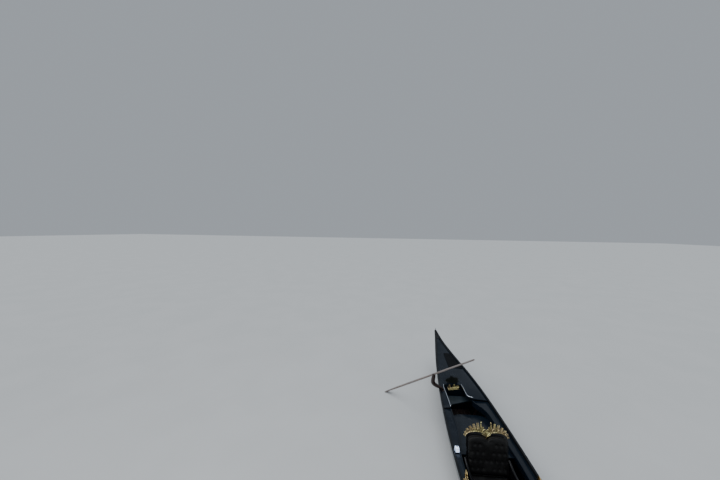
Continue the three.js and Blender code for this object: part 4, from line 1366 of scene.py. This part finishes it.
def make_crest():
    """Gilded crest: mouldings along the two arches, leaves, scrolls and a shell in the dip."""
    parts = crest_mouldings()
    sizes = (CREST_LEAF_LENGTH, CREST_LEAF_WIDTH, CREST_LEAF_THICKNESS)
    pattern = acanthus("tall_leaf", *sizes, lobes=4, bend=0.010)
    for hand in HANDS:
        parts += crest_side(hand, pattern)
    discard(pattern)
    parts += shell("shell_petal", SHELL_PETAL, SHELL_ANGLES, (0, SHELL_DEPTH, DIP_Z))
    crest = unite("carved_crest", parts)
    set_on_back(crest, CREST_STAND)
    smooth(crest, CARVED_ANGLE)
    dress(crest, GILDING, stands_for=["seat_crest"])
    # The dark plate behind the carving stands for the shade in its gaps.
    ground_shade = crest_ground()
    set_on_back(ground_shade, GROUND_STAND)
    smooth(ground_shade)
    dress(ground_shade, CREST_GROUND_SHADE)


# Metalwork and ornament.

RAIL_SWELL = 0.005


def make_irons():
    """Toothed bow iron and curled stern iron, cut from plate, their outlines faired."""
    for node in ("bow_iron", "stern_iron"):
        faired(node, "polished_" + node, IRON, sharp=35, soft=40)


def make_rails():
    """Bright rails along the notch, bent in fair curves and rounded."""
    for side in SIDES:
        node = "well_rail_" + side
        rail = cad_copy(node, "rounded_rail_" + side, keep_stations=True)
        open_mesh(rail)
        bpy.ops.transform.shrink_fatten(value=RAIL_SWELL)
        bpy.ops.transform.translate(value=(0, 0, RAIL_SWELL))
        close_mesh()
        fair(rail, levels=2, crease=0.35, angle=50)
        smooth(rail, SOFT_ANGLE)
        dress(rail, BRIGHT_METAL, stands_for=[node])


# Sea horse from the tip of its tail to its snout. Columns: x and z from its foot, half-width.
SEA_HORSE = (
    (0.046, 0.016, 0.004),
    (0.062, 0.024, 0.006),
    (0.066, 0.040, 0.008),
    (0.052, 0.052, 0.011),
    (0.030, 0.056, 0.014),
    (0.006, 0.064, 0.017),
    (-0.012, 0.080, 0.020),
    (-0.022, 0.104, 0.023),
    (-0.018, 0.132, 0.025),
    (-0.006, 0.156, 0.024),
    (0.004, 0.176, 0.020),
    (0.006, 0.194, 0.017),
    (0.016, 0.212, 0.017),
    (0.030, 0.221, 0.017),
    (0.048, 0.217, 0.013),
    (0.064, 0.209, 0.010),
    (0.074, 0.204, 0.008),
)
# The rows of its back and neck that carry the mane.
MANE_FIRST = 8
MANE_END = 15
# The lean of the lowest fin of the mane, and of each next fin against it, in radians.
MANE_LEAN = -1.2
MANE_STEP = 0.22
# Places of its smaller parts on the port side, from its foot.
FORE_LEG_SPOT = Vector((0.002, 0.011, 0.128))
EAR_SPOT = Vector((0.018, 0.006, 0.222))
TAIL_FIN_SPOT = (0.058, 0, 0.030)
# Rows of its smaller parts, and of the wave under it.
MANE_FIN = ((0, 0, 0.012, 0.004), (-0.003, 0.010, 0.011, 0.003), (-0.010, 0.018, 0.004, 0.0015))
FORE_LEG = (
    (0, 0, 0.009, 0.006),
    (0.026, 0.012, 0.007, 0.005),
    (0.044, 0.004, 0.006, 0.004),
    (0.050, -0.016, 0.005, 0.004),
    (0.060, -0.020, 0.003, 0.003),
)
EAR = ((0, 0, 0.004, 0.003), (-0.003, 0.012, 0.001, 0.001))
WAVE = ((-0.03, 0.014, 0.010, 0.016), (0.0, 0.032, 0.020, 0.016), (0.018, 0.052, 0.010, 0.012))
PLINTH_LOW = (-0.062, -0.03, 0)
PLINTH_HIGH = (0.070, 0.03, 0.014)
PLINTH_STEP = 0.005


def sea_horse_figure():
    """Body, mane, fore legs, ears and tail fin."""
    body = sweep("sea_horse_body", [(x, z, half, half * 0.7) for x, z, half in SEA_HORSE], sides=12)
    subdivide(body)
    parts = [body]
    for i, (x, z, half) in enumerate(SEA_HORSE[MANE_FIRST:MANE_END]):
        turn = (0, MANE_LEAN + MANE_STEP * i, 0)
        parts.append(place(sweep("mane", MANE_FIN), (x - half * 0.7, 0, z), turn))
    for hand in HANDS:
        across = Vector((1, hand, 1))
        leg = sweep("fore_leg", FORE_LEG)
        parts.append(place(leg, FORE_LEG_SPOT * across, (0, 0, hand * 0.1)))
        parts.append(place(sweep("ear", EAR, sides=6), EAR_SPOT * across))
    fin = acanthus("tail_fin", 0.034, 0.016, 0.003, lobes=2)
    parts.append(place(fin, TAIL_FIN_SPOT, (0, 1.0, 0)))
    return parts


def sea_horse_plinth():
    """Stepped plinth with eased edges."""
    plinth = block("plinth", PLINTH_LOW, PLINTH_HIGH)
    select_faces(plinth, looks_up)
    bpy.ops.mesh.inset(thickness=PLINTH_STEP)
    push_out((0, 0, PLINTH_STEP))
    close_mesh()
    round_edges(plinth, 0.002)
    return plinth


def make_sea_horses():
    """Cast brass sea horse on each side deck, on a moulded plinth."""
    for side in SIDES:
        node = "sea_horse_" + side
        low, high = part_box(node)
        parts = sea_horse_figure()
        parts.append(sea_horse_plinth())
        parts.append(sweep("wave", WAVE, sides=10))
        figure = unite("brass_sea_horse_" + side, parts)
        place(figure, (low.x - PLINTH_LOW[0], (low.y + high.y) / 2, low.z))
        smooth(figure, SOFT_ANGLE)
        dress(figure, BRASS, stands_for=[node])


# Stern ornament: a bar on the deck's face that rises to port, drawn from its own middle.
ORNAMENT_MIDDLE_Y = -0.030
BAR_HALF = 0.140
BAR_STEPS = 14
BAR_MIDDLE_Z = 0.034
BAR_RISE = 0.020
BAR_WIDTH = 0.024
BAR_TAPER = 0.004
BAR_THICKNESS = 0.011
RIM_INSET = 0.003
RIM_HALF = 0.005
RIM_THICKNESS = 0.016
BAR_BEAD_COUNT = 12
BAR_BEAD_RADIUS = 0.0065
BAR_BEAD_INSET = 0.020
BAR_SCROLL_SIZE = 0.036
BAR_SCROLL_FOOT = 0.2
BAR_SCROLL_LEAN = 0.25
BAR_SCROLL_DEPTH = -0.008
BAR_SCROLL_Z = 0.036
BAR_SHELL_SPOT = (0.100, -0.002, 0.052)
ORNAMENT_STAND = 0.015
# One plume before it is stretched, and the height that the plumes start from.
PLUME_HEIGHT = 0.11
PLUME_WIDTH = 0.03
PLUME_FOOT = 0.040
# Plumes on the bar. Columns: place along it, height, width, turn in radians.
PLUMES = (
    (-0.098, 0.106, 0.046, -0.10),
    (0.016, 0.124, 0.048, 0.0),
)
# Scrolls on the bar: place along it, and -1 where it curls the other way.
BAR_SCROLLS = ((-0.052, -1), (-0.030, 1), (0.072, 1), (-0.120, -1))
# Its shell: the petals' angles from upright, and one petal's rows.
BAR_SHELL_ANGLES = (-66, -44, -22, 0, 22, 44, 66)
BAR_SHELL_PETAL = (
    (0, 0, 0.004, 0.007),
    (0, 0.036, 0.011, 0.010),
    (0, 0.058, 0.012, 0.009),
    (0, 0.070, 0.004, 0.004),
)
# Leaves of the dark fan in three masses. Columns: angle from upright in degrees, length.
FAN_LEAVES = (
    (-82, 0.150),
    (-68, 0.200),
    (-54, 0.190),
    (-38, 0.140),
    (-22, 0.180),
    (-9, 0.200),
    (6, 0.180),
    (22, 0.140),
    (36, 0.190),
    (49, 0.215),
    (64, 0.195),
    (80, 0.150),
)
FAN_LEAF_LENGTH = 0.2
FAN_LEAF_WIDTH = 0.066
FAN_LEAF_THICKNESS = 0.010
FAN_FOOT = 0.012
FAN_DROP = 0.003
# Every other leaf lies a little further back.
FAN_DEPTHS = (-0.005, 0.007)


def along_bar(count):
    """Places from one end of the ornament's bar to the other, from -1 to 1."""
    return [i / count * 2 - 1 for i in range(count + 1)]


def ornament_bar():
    """The bar with a rim along its upper and its lower edge."""
    rows = []
    for t in along_bar(BAR_STEPS):
        half = BAR_WIDTH - BAR_TAPER * t ** 4
        rows.append((t * BAR_HALF, BAR_MIDDLE_Z + BAR_RISE * t, half, BAR_THICKNESS))
    parts = [sweep("ornament_bar", rows, sides=12)]
    for hand in HANDS:
        rim = [(x, z + hand * (half - RIM_INSET), RIM_HALF, RIM_THICKNESS) for x, z, half, _ in rows]
        parts.append(sweep("ornament_rim", rim))
    return parts


def ornament_plumes():
    """Plumes that stand on the bar, cut from one pattern."""
    pattern = acanthus("plume", PLUME_HEIGHT, PLUME_WIDTH, 0.010, lobes=3, bend=0.003)
    parts = []
    for x, height, width, turn in PLUMES:
        plume = copy_of(pattern, "ornament_plume")
        stretch = (width / PLUME_WIDTH, 1, height / PLUME_HEIGHT)
        parts.append(place(plume, (x, 0, PLUME_FOOT), (0, turn, 0), stretch))
    discard(pattern)
    return parts


def ornament_scrolls_and_beads():
    """Scrolls and a row of beads on the face of the bar."""
    parts = []
    for x, hand in BAR_SCROLLS:
        curl = scroll("ornament_scroll", BAR_SCROLL_SIZE, BAR_SCROLL_FOOT)
        spot = (x, BAR_SCROLL_DEPTH, BAR_SCROLL_Z)
        parts.append(place(curl, spot, (0, hand * BAR_SCROLL_LEAN, 0), (hand, 1, 1)))
    for t in along_bar(BAR_BEAD_COUNT - 1):
        spot = (t * (BAR_HALF - BAR_BEAD_INSET), BEAD_DEPTH, BAR_MIDDLE_Z + BAR_RISE * t)
        parts.append(ball("ornament_bead", spot, BAR_BEAD_RADIUS, detail=1))
    return parts


def make_stern_ornament():
    """Gilded bar with two plumes and a shell on the stern deck's face."""
    low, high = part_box("stern_ornament")
    parts = ornament_bar() + ornament_plumes()
    parts += shell("ornament_shell", BAR_SHELL_PETAL, BAR_SHELL_ANGLES, BAR_SHELL_SPOT)
    parts += ornament_scrolls_and_beads()
    ornament = unite("carved_stern_ornament", parts)
    place(ornament, (high.x - ORNAMENT_STAND, ORNAMENT_MIDDLE_Y, low.z), (0, 0, math.pi / 2))
    smooth(ornament, CARVED_ANGLE)
    dress(ornament, GILDING, stands_for=["stern_ornament"])


def make_leaf_fan():
    """Fan of dark leaves behind the ornament, spread from a round root."""
    low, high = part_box("ornament_leaves")
    blade = acanthus("leaf_blade", FAN_LEAF_LENGTH, FAN_LEAF_WIDTH, FAN_LEAF_THICKNESS, lobes=4)
    fan = [drum("leaf_root", (0, 0, 0.018), 0.05, 0.02, "Y")]
    for i, (degrees, length) in enumerate(FAN_LEAVES):
        leaf = copy_of(blade, "fan_leaf")
        spot = (0, FAN_DEPTHS[i % 2], FAN_FOOT)
        fan.append(place(leaf, spot, (0, math.radians(degrees), 0), (1, 1, length / FAN_LEAF_LENGTH)))
    discard(blade)
    leaves = unite("dark_leaf_fan", fan)
    spot = ((low.x + high.x) / 2, (low.y + high.y) / 2, low.z - FAN_DROP)
    place(leaves, spot, (0, 0, math.pi / 2))
    smooth(leaves, CARVED_ANGLE)
    dress(leaves, LEAVES, stands_for=["ornament_leaves"])


LAMP_WIDTH = 0.086
LAMP_FOOT = 0.011
PANE_INSET = 0.005
PANE_LOW = 0.010
PANE_HIGH = 0.084
LAMP_TOP_RISE = 0.018
LAMP_TOP_TAPER = 0.4
CAGE_INSET = 0.004
CAGE_RADIUS = 0.0032
POST_MIDDLE = 0.046
POST_LENGTH = 0.076
LAMP_CAP_Z = 0.1025
LAMP_KNOB_Z = 0.108


def lamp_panes(half):
    """Milky panes and hipped top in one."""
    reach = half - PANE_INSET
    panes = block("lamp_panes", (-reach, -reach, PANE_LOW), (reach, reach, PANE_HIGH))
    select_faces(panes, looks_up)
    push_out((0, 0, LAMP_TOP_RISE))
    top = (0, 0, PANE_HIGH + LAMP_TOP_RISE)
    bpy.ops.transform.resize(value=(LAMP_TOP_TAPER, LAMP_TOP_TAPER, 1), center_override=top)
    close_mesh()
    round_edges(panes, 0.004, 3)
    return panes


def lamp_cage(half):
    """Foot, four posts, four bars, cap and knob."""
    parts = [block("lamp_foot", (-half, -half, 0), (half, half, LAMP_FOOT))]
    corner = half - CAGE_INSET
    for x in HANDS:
        for y in HANDS:
            spot = (x * corner, y * corner, POST_MIDDLE)
            parts.append(drum("lamp_post", spot, CAGE_RADIUS, POST_LENGTH, "Z", sides=12))
    for hand in HANDS:
        away = hand * corner
        parts.append(drum("lamp_bar", (0, away, PANE_HIGH), CAGE_RADIUS, 2 * corner, "X", sides=12))
        parts.append(drum("lamp_bar", (away, 0, PANE_HIGH), CAGE_RADIUS, 2 * corner, "Y", sides=12))
    parts.append(drum("lamp_cap", (0, 0, LAMP_CAP_Z), radius=0.013, depth=0.005, axis="Z", sides=20))
    parts.append(ball("lamp_knob", (0, 0, LAMP_KNOB_Z), radius=0.006))
    cage = unite("lamp_cage", parts)
    round_edges(cage, 0.001)
    return cage


def make_lamp():
    """Small night lamp: milky panes and top that glow, in a thin dark cage."""
    low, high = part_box("deck_lamp")
    half = LAMP_WIDTH / 2
    spot = ((low.x + high.x) / 2, high.y - half, low.z)
    panes = place(lamp_panes(half), spot)
    smooth(panes)
    dress(panes, LAMP_GLASS, stands_for=["deck_lamp"])
    cage = place(lamp_cage(half), spot)
    smooth(cage)
    dress(cage, DARK_METAL)


MAT_RIB = 0.0115
MAT_RIB_RISE = 0.004


def make_mat():
    """Rubber mat with ribs across it."""
    mat = cad_copy("foot_mat", "ribbed_mat")
    low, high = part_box("foot_mat")
    length = high.x - low.x
    count = int(length / MAT_RIB)
    for i in range(1, count):
        open_mesh(mat)
        bpy.ops.mesh.bisect(plane_co=(low.x + length * i / count, 0, 0), plane_no=(1, 0, 0))
        close_mesh()

    def is_rib(centre, normal):
        return normal.z > 0.5 and int((centre.x - low.x) / length * count) % 2 == 1

    select_faces(mat, is_rib)
    push_out((0, 0, MAT_RIB_RISE))
    close_mesh()
    smooth(mat)
    dress(mat, RUBBER, stands_for=["foot_mat"])


# Rowing gear.

ARM_LOW = 0.76
ARM_HIGH = 1.03
ARM_SWELL = 0.010


def make_rowlock():
    """Rowlock with a full, smoothly carved arm, and its block."""
    rowlock = cad_copy("rowlock", "carved_rowlock", keep_stations=True)
    open_mesh(rowlock)
    bpy.ops.mesh.select_all(action="DESELECT")
    close_mesh()
    for vertex in rowlock.data.vertices:
        vertex.select = ARM_LOW < vertex.co.z < ARM_HIGH
    bpy.ops.object.mode_set(mode="EDIT")
    bpy.ops.transform.shrink_fatten(value=ARM_SWELL)
    close_mesh()
    fair(rowlock, levels=2, crease=0.8, angle=60)
    smooth(rowlock, CARVED_ANGLE)
    dress(rowlock, WALNUT, stands_for=["rowlock"])
    eased("rowlock_block", WALNUT, 0.003)


def make_oar():
    """Oar, shaded smooth along its round shaft."""
    oar = cad_copy("oar", "shaped_oar")
    smooth(oar, CARVED_ANGLE)
    dress(oar, OAR_WOOD, body=OAR, stands_for=["oar"])


# Studio.

FLOOR_HALF = 150.0
FLOOR_DEPTH = 0.05
CUTTER_HALF = 0.1
CUTTER_SHRINK = (0.992, 0.982, 1)
CUTTER_MIDDLE = (0, 0.12, 0)
WORLD_COLOUR = (0.70, 0.76, 0.83, 1)
WORLD_STRENGTH = 0.50


def waterline_cutter():
    """A closed prism a little inside the hull's skin at the waterline."""
    cutter = unite("waterline_cutter", [cad_copy(node, "waterline_" + node) for node in PLANKING])
    open_mesh(cutter)
    bpy.ops.mesh.bisect(plane_co=(0, 0, 0), plane_no=(0, 0, 1), clear_inner=True, clear_outer=True)
    bpy.ops.mesh.select_all(action="SELECT")
    bpy.ops.transform.translate(value=(0, 0, -CUTTER_HALF))
    bpy.ops.mesh.duplicate_move(TRANSFORM_OT_translate={"value": (0, 0, 2 * CUTTER_HALF)})
    bpy.ops.mesh.select_all(action="SELECT")
    bpy.ops.mesh.convex_hull()
    bpy.ops.mesh.select_all(action="SELECT")
    bpy.ops.transform.resize(value=CUTTER_SHRINK, center_override=CUTTER_MIDDLE)
    bpy.ops.mesh.normals_make_consistent(inside=False)
    close_mesh()
    return cutter


def make_floor():
    """Pale floor at the waterline, open inside the hull."""
    floor = block("studio_floor", (-FLOOR_HALF, -FLOOR_HALF, -FLOOR_DEPTH), (FLOOR_HALF, FLOOR_HALF, 0))
    cutter = waterline_cutter()
    apply_modifier(floor, "BOOLEAN", operation="DIFFERENCE", solver="EXACT", object=cutter)
    discard(cutter)
    floor.data.materials.append(PALE_FLOOR)


def make_lights():
    """Broad soft light from above, a warmer fill light from ahead, and a pale world."""
    bpy.ops.object.light_add(type="SUN", rotation=(math.radians(16), math.radians(14), 0))
    overhead = take("overhead_light")
    overhead.data.energy = 2.1
    overhead.data.angle = math.radians(75)
    overhead.data.color = (0.95, 0.98, 1.0)
    bpy.ops.object.light_add(type="AREA", location=(6.5, -6.0, 5.0))
    fill = take("fill_light")
    fill.data.shape = "DISK"
    fill.data.size = 4.0
    fill.data.energy = 160.0
    fill.data.color = (1.0, 0.97, 0.93)
    aim = Vector((-2.0, 0, 0.5)) - fill.location
    fill.rotation_euler = aim.to_track_quat("-Z", "Y").to_euler()
    fill.visible_camera = False
    world = bpy.data.worlds.new("studio")
    world.use_nodes = True
    background = world.node_tree.nodes["Background"]
    background.inputs["Color"].default_value = WORLD_COLOUR
    background.inputs["Strength"].default_value = WORLD_STRENGTH
    bpy.context.scene.world = world


def make_camera():
    """Camera at the photograph's place, turned as fitted."""
    pitch = math.atan((HORIZON_ROW - PHOTO_HEIGHT / 2) / CAMERA_LENS_PIXELS)
    level = math.cos(pitch)
    forward = Vector((-math.cos(CAMERA_YAW) * level, math.sin(CAMERA_YAW) * level, math.sin(pitch)))
    right = forward.cross(Vector((0, 0, 1))).normalized()
    up = right.cross(forward)
    turned_right = math.cos(CAMERA_ROLL) * right + math.sin(CAMERA_ROLL) * up
    turned_up = math.cos(CAMERA_ROLL) * up - math.sin(CAMERA_ROLL) * right
    bpy.ops.object.camera_add(location=(0, 0, 0))
    camera = take("photo_camera")
    axes = Matrix((turned_right, turned_up, -forward)).transposed().to_4x4()
    camera.matrix_world = Matrix.Translation(CAMERA_PLACE) @ axes
    camera.data.sensor_width = SENSOR_WIDTH
    camera.data.lens = CAMERA_LENS_PIXELS * SENSOR_WIDTH / PHOTO_WIDTH
    camera.data.clip_end = CAMERA_REACH
    bpy.context.scene.camera = camera


make_hull()
make_decks_and_frames()
make_floor_boards()
make_seat_carcass()
make_cushions()
make_back()
make_crest()
make_chairs()
make_irons()
make_rails()
make_sea_horses()
make_stern_ornament()
make_leaf_fan()
make_lamp()
make_mat()
make_rowlock()
make_oar()
make_floor()
make_lights()
make_camera()
